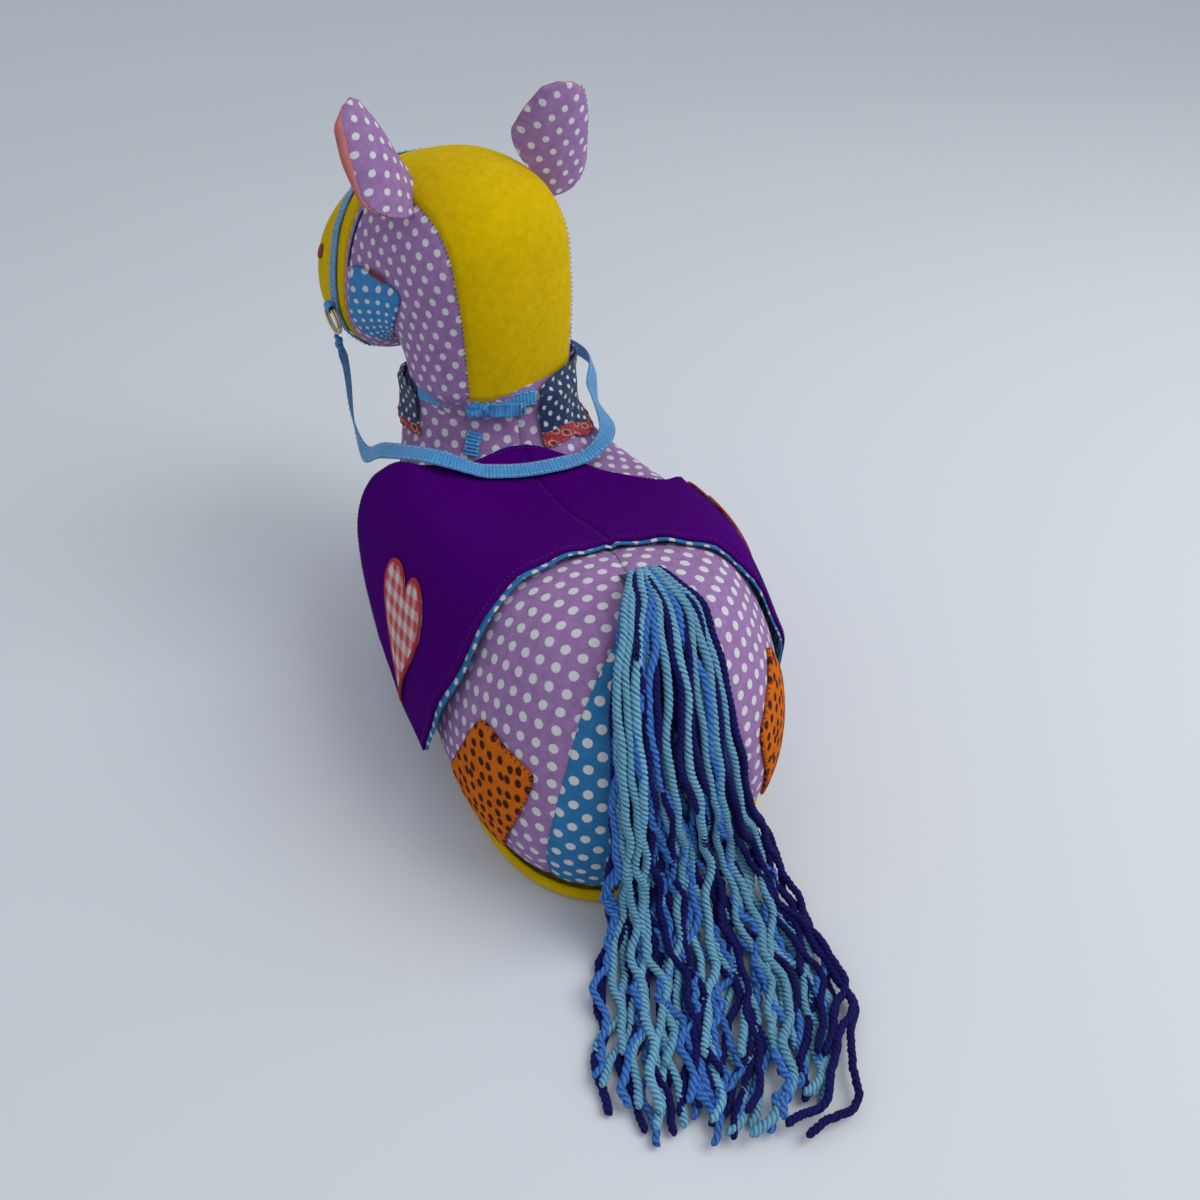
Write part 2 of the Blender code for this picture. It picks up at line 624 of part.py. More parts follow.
def clearance(points, surface):
    """Least distance of some points outside a skin, measured on a fine net of it."""
    turns, places = np.meshgrid(np.linspace(0, 2 * math.pi, 180), np.linspace(0, 1, 90), indexing="ij")
    skin = surface(turns, places)
    off = lifted(surface, turns, places, GAP * np.ones(turns.shape)) - skin
    skin, off = skin.reshape(-1, 3), off.reshape(-1, 3) / GAP
    gaps = []
    for point in points.reshape(-1, 3):
        nearest = np.argmin(((skin - point) ** 2).sum(axis=1))
        gaps.append(np.dot(point - skin[nearest], off[nearest]))
    return min(gaps)


# Ears: a padded leaf with a thin lining on its open side
ear_width_shares = ((0.0, 0.58), (0.14, 0.86), (0.3, 1.0), (0.5, 0.91), (0.7, 0.76), (0.86, 0.50), (1.0, 0.12))
# Where each ear is sewn: angle, place, turn outwards in degrees, its lean outwards and its tip, as shares of its rise
ear_seat_shares = {"left": (47.5, 0.593, 30, 0.25, 0.42), "right": (46, 0.531, 19, 0.11, -0.233)}


def ear_grids(side, seat):
    """Four grids of one ear (back, middle, lining back and front), the middle of its seam and the seam's way."""
    angle, place, turned, lean, tip = seat
    base = lifted(head_point, side * math.radians(angle), place, EAR_SEAT)
    forward = np.array([math.sin(HEAD_TURN), -math.cos(HEAD_TURN), 0])
    out = side * np.array([math.cos(HEAD_TURN), math.sin(HEAD_TURN), 0])
    turned = math.radians(turned)
    open_way = forward * math.cos(turned) + out * math.sin(turned)
    across = out * math.cos(turned) - forward * math.sin(turned)
    rise = np.array([0, 0, 1.0]) + across * lean + open_way * tip
    rise = rise / np.linalg.norm(rise)
    across = across - rise * np.dot(across, rise)
    across = side * across / np.linalg.norm(across)
    open_way = open_way - rise * np.dot(open_way, rise)
    open_way = open_way / np.linalg.norm(open_way)
    w = np.linspace(0, 1, 8)[:, None]
    u = np.linspace(-1, 1, 7)[None, :]
    half_width = EAR_HALF_WIDTH * spline(ear_width_shares, w)[..., 0]
    flat = base + rise * (EAR_LENGTH * w)[..., None] + across * (half_width * u)[..., None]
    cup = EAR_CUP * u**2 * half_width / EAR_HALF_WIDTH * (1 - w / 2) * np.minimum(1, 2.6 * w)
    pad = EAR_BULGE * (1 - u**4) * np.sin(math.pi * (0.02 + 0.90 * w)) + CLOTH
    middle = flat + open_way * cup[..., None]
    back = middle - open_way * pad[..., None]
    low = middle + open_way * LAYER_GAP
    high = low + open_way * CLOTH
    grids = [back, middle, low, high]
    fade = (1 - w**2 * (3 - 2 * w))[..., None]
    for column in range(middle.shape[1]):
        lowered = -EAR_DROP
        for _ in range(7):
            foot = np.stack([grid[0, column] for grid in grids])
            shift = max(EAR_SEAT - clearance(foot, head_point), lowered)
            lowered = lowered - shift
            for grid in grids:
                grid[:, column] += rise * shift * fade[:, 0]
    seam = middle[0]
    return grids, seam.mean(axis=0), (seam[-1] - seam[0]) / np.linalg.norm(seam[-1] - seam[0])


for side, name in ((1, "left"), (-1, "right")):
    (back, middle, low, high), base_point, across = ear_grids(side, ear_seat_shares[name])
    move_origin(solid_between("ear_" + name, back, middle, LILAC), base_point)
    move_origin(solid_between("ear_lining_" + name, low, high, CORAL), base_point)
    print("ear", name, [round(float(v), 5) for v in base_point], [round(float(v), 5) for v in across])


def neck_wrap(angle, share, low_place, lift):
    """Round the neck: share 0 lies on the head's neck, 1 on the chest at the given place of the body."""
    split = 0.22
    above = (0.055 + 0.025 * np.cos(angle - math.radians(5))) * np.clip(1 - share / split, 0, 1)
    below = 1 - (1 - low_place) * np.clip((share - split) / (1 - split), 0, 1)
    on_head = lifted(head_point, angle + HEAD_TURN, above, lift)
    on_body = lifted(body_point, angle, below, lift)
    return np.where((share < split)[..., None], on_head, on_body)


# Kerchief with its printed edge, and the ribbon that ties it over the nape
KERCHIEF_LIFT = 0.0030
KERCHIEF_START, KERCHIEF_END = math.radians(78), math.radians(322)
TRIM_PLACE = 0.024
KERCHIEF_FLARE = 0.0050


def kerchief_low(angle):
    """Place on the chest where the kerchief's cloth ends: lowest in front."""
    away = np.abs(angle - math.radians(195)) / math.radians(125)
    return 0.75 + 0.195 * np.minimum(away, 1)


turns = np.linspace(KERCHIEF_START, KERCHIEF_END, 21)[None, :]
depth = np.array([0, 0.11, 0.22, 0.40, 0.60, 0.80, 1.0])[:, None]
turns, depth = np.broadcast_arrays(turns, depth)
turned_out = 1 + 1.15 * np.exp(-((turns - math.radians(222)) / math.radians(32)) ** 2)
flare = KERCHIEF_FLARE * np.clip((0.55 - depth) / 0.3, 0, 1) * turned_out
wrap_points = neck_wrap(turns, depth, kerchief_low(turns), KERCHIEF_LIFT + CLOTH + flare)
neck_middle = (NECK_SHIFT, NECK_BACK, NECK_SEAM)
shell("kerchief", wrap_points, CLOTH, DENIM, neck_middle)
edge_turns = np.linspace(KERCHIEF_START, KERCHIEF_END, 21)
edge = kerchief_low(edge_turns)
trim_places = np.stack([edge - 0.003, edge - TRIM_PLACE * 0.5, edge - TRIM_PLACE])
edge_turns = np.broadcast_to(edge_turns, trim_places.shape)
trim = lifted(body_point, edge_turns, trim_places, (KERCHIEF_LIFT + CLOTH) * np.ones(trim_places.shape))
shell("kerchief_trim", trim, CLOTH, CHECK_RED, neck_middle)
tie_place_share, knot_place_share = 0.975, 0.972
loop_shares = ((17, 0.972), (-4, 0.965))
end_shares = ((28, 0.955), (33, 0.922))
tie_turns = np.linspace(KERCHIEF_END - 2 * math.pi + 0.02, KERCHIEF_START - 0.02, 13)
tie = band("neck_tie", body_point, tie_turns, tie_place_share, PATCH_LIFT * 1.5, RIBBON_WIDTH, RIBBON_BLUE)
shell("neck_tie", tie, RIBBON, RIBBON_BLUE, neck_middle, roughness=0.6)
lens("neck_tie_knot", body_point, math.radians(24), knot_place_share, (0.0050, 0.0042, 0.0030), RIBBON_BLUE, 0.6, RIBBON_WIDTH / 4)


def flat_end(name, surface, first, last, width, lift, thickness, colour):
    """A short ribbon end or loop that lies over a skin, from one angle and place to another."""
    share = np.linspace(0, 1, 6)[:, None]
    way = np.array(first)[None] * (1 - share) + np.array(last)[None] * share
    line = lifted(surface, np.radians(way[:, 0]), way[:, 1], lift + thickness + 0.25 * lift * np.sin(math.pi * share[:, 0]))
    out = line - surface(np.radians(way[:, 0]), way[:, 1])
    out = out / np.linalg.norm(out, axis=1, keepdims=True)
    along = np.gradient(line, axis=0)
    across = np.cross(along, out)
    across = across / np.linalg.norm(across, axis=1, keepdims=True)
    edges = line[:, None] + across[:, None] * width * np.array([-0.5, 0, 0.5])[None, :, None]
    return solid_between(name, edges, edges - out[:, None] * thickness, colour, 0.6)


flat_end("neck_tie_loop", body_point, *loop_shares, 0.8 * RIBBON_WIDTH, 0.20 * RIBBON_WIDTH, 3 * RIBBON, RIBBON_BLUE)
flat_end("neck_tie_end", body_point, *end_shares, 0.9 * RIBBON_WIDTH, 0.11 * RIBBON_WIDTH, RIBBON, RIBBON_BLUE)

# Tail: one mass of yarn, sewn at the top of the gusset, down over it and out along the floor
tail_down_shares = ((0.495, 0.28, 0.42), (0.45, 0.36, 0.66), (0.38, 0.42, 0.86), (0.30, 0.46, 1.0), (0.21, 0.48, 1.0), (0.12, 0.50, 1.0))
tail_floor_shares = (
    (0.535, 0.22, 0.52, 1.0, 62), (0.600, 0.105, 0.62, 0.95, 28), (0.690, 0.062, 0.80, 0.85, 4),
    (0.790, 0.055, 0.97, 0.75, 0), (0.880, 0.052, 1.00, 0.70, 0), (0.950, 0.050, 0.75, 0.65, 0),
)
TAIL_SHIFT = 0.008
sweep = np.linspace(0, 2 * math.pi, 12, endpoint=False)
tail_rings = []
for place, width, depth_share in tail_down_shares:
    depth_here = TAIL_DEPTH * depth_share
    middle = lifted(body_point, 0.0, place, TAIL_CLEAR + depth_here)
    outward = (middle - body_point(np.float64(0), np.float64(place))) / (TAIL_CLEAR + depth_here)
    middle = middle + np.array([TAIL_SHIFT * (1 - place / 0.495), 0, 0])
    side = np.array([1.0, 0, 0]) * TAIL_WIDTH * width
    tail_rings.append(middle + np.cos(sweep)[:, None] * side + np.sin(sweep)[:, None] * outward * depth_here)
for reach, rise, width, depth_share, lean in tail_floor_shares:
    depth_here = TAIL_DEPTH * depth_share
    outward = np.array([0, math.sin(math.radians(lean)), math.cos(math.radians(lean))])
    middle = np.array([TAIL_SHIFT, BODY_LENGTH * reach, 0])
    side = np.array([1.0, 0, 0]) * TAIL_WIDTH * width
    around = middle + np.cos(sweep)[:, None] * side + np.sin(sweep)[:, None] * outward * depth_here
    around[:, 2] += max(BODY_HEIGHT * rise, FLOOR_CLEAR - around[:, 2].min())
    tail_rings.append(around)
tail = closed_tube("tail_yarn", np.array(tail_rings), YARN)
tail_root = np.mean(tail_rings[0], axis=0)
print("tail root", [round(float(v), 5) for v in tail_root])
move_origin(tail, tail_root)
lens("tail_stitch", body_point, 0.0, 0.535, (0.0060, 0.0030, 0.0016), NAVY, 0.9, STITCH_SEAT)


# Reins: one ribbon from ring to ring, hanging beside the neck and lying over the saddle's front
def smooth_line(points, count):
    """Points at even steps along a smooth line through a few."""
    points = np.asarray(points, float)
    run = np.concatenate([[0], np.cumsum(np.linalg.norm(np.diff(points, axis=0), axis=1))])
    fine = spline(np.column_stack([run, points]), np.linspace(0, run[-1], 400))
    length = np.concatenate([[0], np.cumsum(np.linalg.norm(np.diff(fine, axis=0), axis=1))])
    even = np.linspace(0, length[-1], count)
    return np.stack([np.interp(even, length, fine[:, k]) for k in range(3)], -1), length[-1]


def over_saddle(degrees, place):
    """A point of the reins where they lie on the saddle or the neck."""
    turn = math.radians(degrees)
    height = saddle_lift(turn) + CLOTH + LAYER_GAP + FELT + 0.6 * REIN_LIFT
    height += max(0, abs(degrees) - 30) / 30 * REIN_LIFT
    return lifted(body_point, turn, place, height)


left_end = ring_centres[0][0] - ring_centres[0][2] * (RING_RADIUS + RING_WIRE + 4 * GAP)
right_end = ring_centres[1][0] - ring_centres[1][2] * (RING_RADIUS + RING_WIRE + 4 * GAP)
rein_route_shares = ((1.03, -2.15, 1.02), (1.05, -1.90, 0.84), (1.03, -1.62, 0.76), (0.93, -1.30, 0.86))
rein_far_shares = ((-0.56, -1.62, 0.90), (-0.66, -2.02, 0.93), (-0.42, -2.38, 0.98))
size = np.array([BODY_HALF_WIDTH, BODY_HALF_WIDTH, BODY_HEIGHT])
stops = [left_end]
stops += [np.array(row) * size for row in rein_route_shares]
rein_rest = ((54, 0.845), (43, 0.862), (31, 0.872), (20, 0.878), (9, 0.880), (-2, 0.880), (-13, 0.878), (-24, 0.872), (-35, 0.862), (-44, 0.855))
stops += [over_saddle(degrees, place) for degrees, place in rein_rest]
stops += [np.array(row) * size for row in rein_far_shares]
stops += [right_end]
line, rein_length = smooth_line(stops, 64)
print("reins", round(float(rein_length), 4), [[round(float(value), 4) for value in point] for point in stops])
ahead = np.gradient(line, axis=0)
ahead = ahead / np.linalg.norm(ahead, axis=1, keepdims=True)
away = line - np.array([NECK_SHIFT, NECK_BACK, NECK_SEAM * 0.5])
away = away / np.linalg.norm(away, axis=1, keepdims=True)
net_turns, net_places = np.meshgrid(np.linspace(0, 2 * math.pi, 240), np.linspace(0.6, 1, 80), indexing="ij")
net = body_point(net_turns, net_places).reshape(-1, 3)
net_out = (lifted(body_point, net_turns, net_places, GAP * np.ones(net_turns.shape)).reshape(-1, 3) - net) / GAP
for k, point in enumerate(line):
    nearest = np.argmin(((net - point) ** 2).sum(axis=1))
    near = np.clip(2 - np.linalg.norm(net[nearest] - point) / (2 * REIN_LIFT), 0, 1)
    away[k] = away[k] * (1 - near) + net_out[nearest] * near
away = away - ahead * (away * ahead).sum(axis=1, keepdims=True)
away = away / np.linalg.norm(away, axis=1, keepdims=True)
wide = np.cross(ahead, away)
taper = np.clip(np.minimum(np.arange(64), np.arange(64)[::-1]) / 4, 0.12, 1)[:, None]
sides = np.array([-0.5, 0, 0.5])
flat = line[:, None] + wide[:, None] * (RIBBON_WIDTH * taper)[:, None] * sides[None, :, None]
reins = solid_between("reins", flat + away[:, None] * RIBBON / 2, flat - away[:, None] * RIBBON / 2, RIBBON_BLUE, 0.6)
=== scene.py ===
# %% [markdown]
# # A stuffed felt horse on a flat base
# The toy is sewn from felt panels round a firm filling: a bent loaf of a body with a neck, a raised head and
# padded ears. It wears a saddle cloth with checked hearts, patches, a ribbon bridle, a kerchief and a tail of yarn.
# Each piece is worked out here as a surface over a grid of two numbers, so its cloth can also be laid out flat,
# which is what the printed dots and checks need.

import math

import bmesh
import bpy
import numpy as np
from mathutils import Matrix


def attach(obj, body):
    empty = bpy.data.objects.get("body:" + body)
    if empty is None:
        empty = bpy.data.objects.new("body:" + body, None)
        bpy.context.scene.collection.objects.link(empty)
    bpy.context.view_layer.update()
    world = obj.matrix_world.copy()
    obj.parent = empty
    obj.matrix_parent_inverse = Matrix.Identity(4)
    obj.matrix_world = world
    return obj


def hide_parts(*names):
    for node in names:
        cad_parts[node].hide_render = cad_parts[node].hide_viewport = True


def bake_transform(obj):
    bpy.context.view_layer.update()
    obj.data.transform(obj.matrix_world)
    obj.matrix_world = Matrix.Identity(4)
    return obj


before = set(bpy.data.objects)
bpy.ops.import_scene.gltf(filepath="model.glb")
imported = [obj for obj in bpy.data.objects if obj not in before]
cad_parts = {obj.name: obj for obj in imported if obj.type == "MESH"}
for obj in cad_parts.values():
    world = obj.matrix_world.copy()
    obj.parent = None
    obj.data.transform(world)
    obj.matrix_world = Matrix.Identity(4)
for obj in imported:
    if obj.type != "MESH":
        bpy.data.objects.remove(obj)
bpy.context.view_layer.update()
dice = np.random.default_rng(11)

# %% [markdown]
# ## The camera
# The photograph looks down on the toy from behind, over its rump. A camera is a place, a line of sight and a lens,
# so the three directions of its frame are written out and put into its matrix.

# %% Camera
CAMERA_PLACE = (0.1418, 0.4611, 0.4265)
LOOK_ROUND = math.radians(162)
LOOK_DOWN = math.radians(36)
LENS_MM = 34.5
back_way = np.array([
    math.sin(LOOK_ROUND) * math.cos(LOOK_DOWN),
    -math.cos(LOOK_ROUND) * math.cos(LOOK_DOWN),
    math.sin(LOOK_DOWN),
])
right_way = np.cross([0, 0, 1.0], back_way)
right_way /= np.linalg.norm(right_way)
up_way = np.cross(back_way, right_way)
lens = bpy.data.cameras.new("camera")
lens.lens = LENS_MM
lens.sensor_width = 36
lens.clip_start, lens.clip_end = 0.01, 30
camera = bpy.data.objects.new("camera", lens)
bpy.context.scene.collection.objects.link(camera)
turned = Matrix([[*row] for row in np.column_stack([right_way, up_way, back_way]).tolist()])
camera.matrix_world = Matrix.Translation(CAMERA_PLACE) @ turned.to_4x4()
bpy.context.scene.camera = camera
print("camera looks along", [round(float(-value), 3) for value in back_way])

# %% [markdown]
# ## The skins
# The body is a stack of loops from the base seam to the neck seam, and the head a second stack from the neck to the
# nose. A table gives each loop's rear and front edge and its half width, and smooth curves run through the table.
# Every panel, patch and ribbon of the toy is then a patch of one of these two skins, lifted by a small height.

# %% Body and head skins
BODY_LENGTH, BODY_HEIGHT, BODY_HALF_WIDTH = 0.300, 0.138, 0.087
BASE_RISE = 0.008
NECK_SHIFT, BEND_REACH, BEND_START = 0.0205, 0.165, 0.0185
CORNER_POWER, HEAD_CORNER_POWER = 0.88, 0.82
HEAD_REACH, HEAD_RISE, HEAD_HALF_WIDTH = 0.144, 0.116, 0.050
HEAD_TURN = math.radians(25)
NECK_SIDE, NECK_BACK, NECK_SEAM = NECK_SHIFT * 0.6585, BODY_LENGTH * -0.43167, BODY_HEIGHT * 1.08696
MUZZLE_SEAM = 0.735

# Loop of the body: place, rear y, rear z, front y, front z, half width, egg, side drop
body_profile_shares = (
    (0.00, 0.438, 0.058, -0.438, 0.058, 0.885, 0.10, 0.000),
    (0.10, 0.465, 0.246, -0.498, 0.203, 1.000, 0.10, 0.000),
    (0.22, 0.462, 0.507, -0.538, 0.348, 1.000, 0.08, 0.000),
    (0.34, 0.422, 0.768, -0.562, 0.478, 0.931, 0.04, 0.022),
    (0.46, 0.335, 0.964, -0.572, 0.594, 0.851, 0.00, 0.058),
    (0.57, 0.202, 1.000, -0.575, 0.703, 0.782, 0.00, 0.087),
    (0.68, 0.062, 0.913, -0.572, 0.797, 0.713, 0.00, 0.072),
    (0.79, -0.105, 0.797, -0.565, 0.891, 0.632, 0.00, 0.029),
    (0.88, -0.245, 0.797, -0.558, 0.971, 0.558, 0.00, 0.000),
    (0.94, -0.298, 0.899, -0.555, 1.036, 0.520, 0.00, 0.000),
    (1.00, -0.312, 1.087, -0.552, 1.087, 0.495, 0.00, 0.000),
)
# Loop of the head: place, outer forward, outer rise, inner forward, inner rise, half width
head_profile_shares = (
    (0.00, -0.245, 0.000, 0.270, 0.000, 0.920),
    (0.15, -0.258, 0.241, 0.295, 0.100, 0.925),
    (0.30, -0.262, 0.509, 0.335, 0.125, 0.940),
    (0.44, -0.225, 0.790, 0.390, 0.065, 0.985),
    (0.57, -0.060, 0.968, 0.465, -0.020, 1.000),
    (0.69, 0.210, 0.995, 0.565, -0.070, 0.985),
    (0.79, 0.455, 0.900, 0.660, -0.080, 0.915),
    (0.87, 0.670, 0.730, 0.750, -0.055, 0.820),
    (0.93, 0.820, 0.560, 0.840, -0.010, 0.680),
    (0.97, 0.910, 0.410, 0.895, 0.080, 0.480),
    (1.00, 0.940, 0.270, 0.930, 0.215, 0.080),
)
# Half angles of the gusset under the tail and of the gusset over the head, by place
gusset_angles = ((0.0, 31.0), (0.13, 28.0), (0.25, 24.0), (0.34, 20.0), (0.41, 13.0), (0.46, 6.0),
                 (0.49, 0.0))
crown_angles = ((0.0, 48.0), (0.25, 50.0), (0.37, 50.0), (0.5, 47.0), (0.7, 44.0), (0.87, 40.0))
base_rim_shares = ((1.0, 0.96), (0.993, 0.55), (0.975, 0.22), (0.950, 0.05), (0.925, 0.0))


def spline(rows, places):
    """A table's values at any place: between two rows, the cubic that has both rows' values and slopes."""
    table = np.asarray(rows, float)
    knots, values = table[:, 0], table[:, 1:]
    slope = np.gradient(values, knots, axis=0)
    places = np.asarray(places, float)
    i = np.clip(np.searchsorted(knots, places, side="right") - 1, 0, len(knots) - 2)
    width = (knots[i + 1] - knots[i])[..., None]
    s = (places - knots[i])[..., None] / width
    lower = (2 * s**3 - 3 * s**2 + 1) * values[i] + (s**3 - 2 * s**2 + s) * width * slope[i]
    upper = (3 * s**2 - 2 * s**3) * values[i + 1] + (s**3 - s**2) * width * slope[i + 1]
    return lower + upper


def body_point(angle, place):
    """Body skin: a squared circle between a loop's rear and front edge, bent sideways by the square of its reach.
    Angle 0 is the rear line and a quarter turn is the horse's left; place runs from base seam 0 to neck seam 1."""
    loop = spline(body_profile_shares, place)
    rear_y, rear_z, front_y, front_z, width, egg, drop = np.moveaxis(loop, -1, 0)
    rear_y, front_y = rear_y * BODY_LENGTH, front_y * BODY_LENGTH
    rear_z, front_z = rear_z * BODY_HEIGHT, front_z * BODY_HEIGHT
    side = np.sign(np.sin(angle)) * np.abs(np.sin(angle)) ** CORNER_POWER
    back = np.sign(np.cos(angle)) * np.abs(np.cos(angle)) ** CORNER_POWER
    x = BODY_HALF_WIDTH * width * side * (1 + egg * back) / (1 + egg * egg)
    share = (1 + back) / 2
    y = front_y + (rear_y - front_y) * share
    z = front_z + (rear_z - front_z) * share
    length = np.hypot(rear_z - front_z, rear_y - front_y)
    fall = drop * BODY_HEIGHT * np.sin(angle) ** 2
    y = y + (rear_z - front_z) / length * fall
    z = z - (rear_y - front_y) / length * fall
    x = x + NECK_SHIFT * ((y - BEND_START) / BEND_REACH) ** 2
    return np.stack([x, y, z], -1)


def head_point(angle, place):
    """Head skin: a squared circle between a loop's outer and inner edge, turned to the horse's left.
    Angle 0 is the line over nape and forehead; place runs from the neck seam 0 to the nose 1."""
    outer_f, outer_z, inner_f, inner_z, width = np.moveaxis(spline(head_profile_shares, place), -1, 0)
    side = HEAD_HALF_WIDTH * width * np.sign(np.sin(angle)) * np.abs(np.sin(angle)) ** HEAD_CORNER_POWER
    share = (1 + np.sign(np.cos(angle)) * np.abs(np.cos(angle)) ** HEAD_CORNER_POWER) / 2
    forward = HEAD_REACH * (inner_f + (outer_f - inner_f) * share)
    z = NECK_SEAM + HEAD_RISE * (inner_z + (outer_z - inner_z) * share)
    x = NECK_SIDE + side * math.cos(HEAD_TURN) + forward * math.sin(HEAD_TURN)
    y = NECK_BACK - forward * math.cos(HEAD_TURN) + side * math.sin(HEAD_TURN)
    return np.stack([x, y, z], -1)


def skin_normal(surface, angle, place):
    """The unit vector out of a skin: the cross product of its two slopes."""
    step = 1e-3
    low, high = np.clip(place - step, 0, 1), np.clip(place + step, 0, 1)
    across = surface(angle + step, place) - surface(angle - step, place)
    along = surface(angle, high) - surface(angle, low)
    normal = np.cross(along, across)
    return normal / np.linalg.norm(normal, axis=-1, keepdims=True)


def stuffing_lump(surface, angle, place):
    """Height of the uneven filling under the felt: slow waves in angle and place, about half a millimetre."""
    waves = np.sin(3 * angle + 7 * place + 1) + 0.7 * np.sin(5 * angle - 11 * place + 2)
    waves = waves + 0.8 * np.sin(2 * angle + 17 * place) + 0.5 * np.sin(7 * angle + 23 * place + 0.6)
    return 0.00028 * waves * (1 if surface is body_point else 0.8)


def lifted(surface, angle, place, lift=0.0):
    """A point of a skin moved out along its normal by the filling's lump and a height of its own."""
    angle, place = np.broadcast_arrays(np.asarray(angle, float), np.asarray(place, float))
    height = stuffing_lump(surface, angle, place) + np.asarray(lift, float)
    return surface(angle, place) + skin_normal(surface, angle, place) * height[..., None]


def half_angle(table, place):
    """Half width of a gusset at a place, as an angle."""
    rows = np.asarray(table)
    return np.radians(np.interp(place, rows[:, 0], rows[:, 1]))


print("rump", [round(float(value), 3) for value in body_point(0.0, 0.5)])

# %% [markdown]
# ## Laying the cloth flat
# Dots are printed before the cloth is cut, so they stay round and evenly spaced however the panel curves. A panel's
# grid is therefore laid flat: starting from its arc lengths, the edges and diagonals of a coarse net push and pull
# until they have their true lengths. The result becomes the UV map, in metres.

# %% Flat cloth
def arc_lengths(points, axis):
    """Distance travelled along a grid's lines: the running sum of its steps."""
    steps = np.linalg.norm(np.diff(points, axis=axis), axis=-1)
    start = np.zeros_like(np.take(steps, [0], axis=axis))
    return np.concatenate([start, np.cumsum(steps, axis=axis)], axis=axis)


def run_of(line):
    """Distance travelled along one line."""
    return arc_lengths(line[:, None], 0)[:, 0]


def at_distance(distance, run, values):
    """A line's values at distances travelled along it."""
    return np.stack([np.interp(distance, run, values[:, k]) for k in range(values.shape[1])], -1)


def cloth_places(first, second):
    """Places on flat cloth from two coordinates that may each vary along one side only."""
    return np.stack(np.broadcast_arrays(first, second), -1)


def refill(net, old_rows, old_columns, new_rows, new_columns):
    """A net's values at other rows and columns, by straight lines between the ones it has."""
    wider = np.stack([[np.interp(new_columns, old_columns, line[:, k]) for line in net] for k in (0, 1)], -1)
    taller = [[np.interp(new_rows, old_rows, wider[:, j, k]) for j in range(wider.shape[1])] for k in (0, 1)]
    return np.moveaxis(np.array(taller), 0, -1).swapaxes(0, 1)


def cut_size(points):
    """What a sheet was cut to: its longest row by its longest column, and its area."""
    across, down = points[1:, :-1] - points[:-1, :-1], points[:-1, 1:] - points[:-1, :-1]
    area = np.linalg.norm(np.cross(across, down), axis=-1).sum()
    size = (arc_lengths(points, 1)[:, -1].max() + 0.002, arc_lengths(points, 0)[-1].max() + 0.002)
    return {"flat": tuple(round(float(part), 4) for part in size),
            "area": round(float(min(area, size[0] * size[1])), 6)}


def lie_flat(points, nets=(6, 11, 21, 36), passes=250):
    """Places on the flat cloth. A coarse net starts from its arc lengths and springs to its true edge lengths, and
    each finer net starts from the one before it. Nets are cut by distance, because rows crowd near the seams."""
    down = arc_lengths(points, 0).mean(axis=1)
    side = arc_lengths(points, 1).mean(axis=0)
    flat, known = None, None
    for size in nets:
        rows = np.unique(np.searchsorted(down, np.linspace(0, down[-1], size)).clip(0, len(down) - 1))
        columns = np.unique(np.searchsorted(side, np.linspace(0, side[-1], size)).clip(0, len(side) - 1))
        coarse = points[np.ix_(rows, columns)]
        high, wide = coarse.shape[:2]
        if flat is None:
            across = arc_lengths(coarse, 1)
            run = arc_lengths(coarse, 0)[:, wide // 2, None]
            flat = np.stack([across - across[:, wide // 2, None], np.broadcast_to(run, across.shape)], -1)
        else:
            flat = refill(flat, *known, down[rows], side[columns])
        known = (down[rows], side[columns])
        for _ in range(passes):
            push = np.zeros_like(flat)
            for low, right in ((0, 1), (1, 0), (1, 1), (1, -1)):
                a = (slice(0, high - low), slice(max(0, -right), wide - max(0, right)))
                b = (slice(low, high), slice(max(0, right), wide + min(0, right)))
                way = flat[b] - flat[a]
                length = np.linalg.norm(way, axis=-1, keepdims=True) + 1e-9
                true = np.linalg.norm(coarse[b] - coarse[a], axis=-1, keepdims=True)
                move = way * (1 - true / length) * 0.12
                push[a] += move
                push[b] -= move
            flat = flat + push
    return refill(flat, *known, down, side)


def mesh_of(name, grids, wrap=False, seam=False, caps=False):
    """One mesh from grids of points. Each grid is (points, place on the flat cloth, named numbers for the material).
    A wrapped grid closes round its columns, and with a seam its cloth runs on past the last column. Caps close the
    first and last row."""
    points, faces, cloths, marks, count = [], [], [], {}, 0
    for grid, cloth, named in grids:
        rows, columns = grid.shape[:2]
        corner = count + np.arange(rows * columns).reshape(rows, columns)
        near = corner if wrap else corner[:, :-1]
        far = np.roll(corner, -1, axis=1) if wrap else corner[:, 1:]
        faces += np.stack([near[:-1], near[1:], far[1:], far[:-1]], -1).reshape(-1, 4).tolist()
        last = cloth[:, -1:] * 2 - cloth[:, -2:-1] if seam else cloth[:, :1]
        here = cloth if wrap else cloth[:, :-1]
        after = np.concatenate([cloth[:, 1:], last], 1) if wrap else cloth[:, 1:]
        cloths.append(np.stack([here[:-1], here[1:], after[1:], after[:-1]], 2).reshape(-1, 2))
        if caps:
            faces += [corner[0].tolist(), corner[-1][::-1].tolist()]
            cloths.append(np.concatenate([cloth[0], cloth[-1][::-1]]))
        points.append(grid.reshape(-1, 3))
        count += rows * columns
        for key, value in named.items():
            marks.setdefault(key, []).append(np.ravel(np.broadcast_to(value, grid.shape[:2])))
    mesh = bpy.data.meshes.new(name)
    mesh.from_pydata(np.concatenate(points).tolist(), [], faces)
    layer = mesh.uv_layers.new(name="cloth")
    layer.data.foreach_set("uv", np.concatenate(cloths).astype(np.float32).ravel())
    for key, values in marks.items():
        layer = mesh.attributes.new(key, "FLOAT", "POINT")
        layer.data.foreach_set("value", np.concatenate(values).astype(np.float32))
    mesh.shade_smooth()
    return mesh


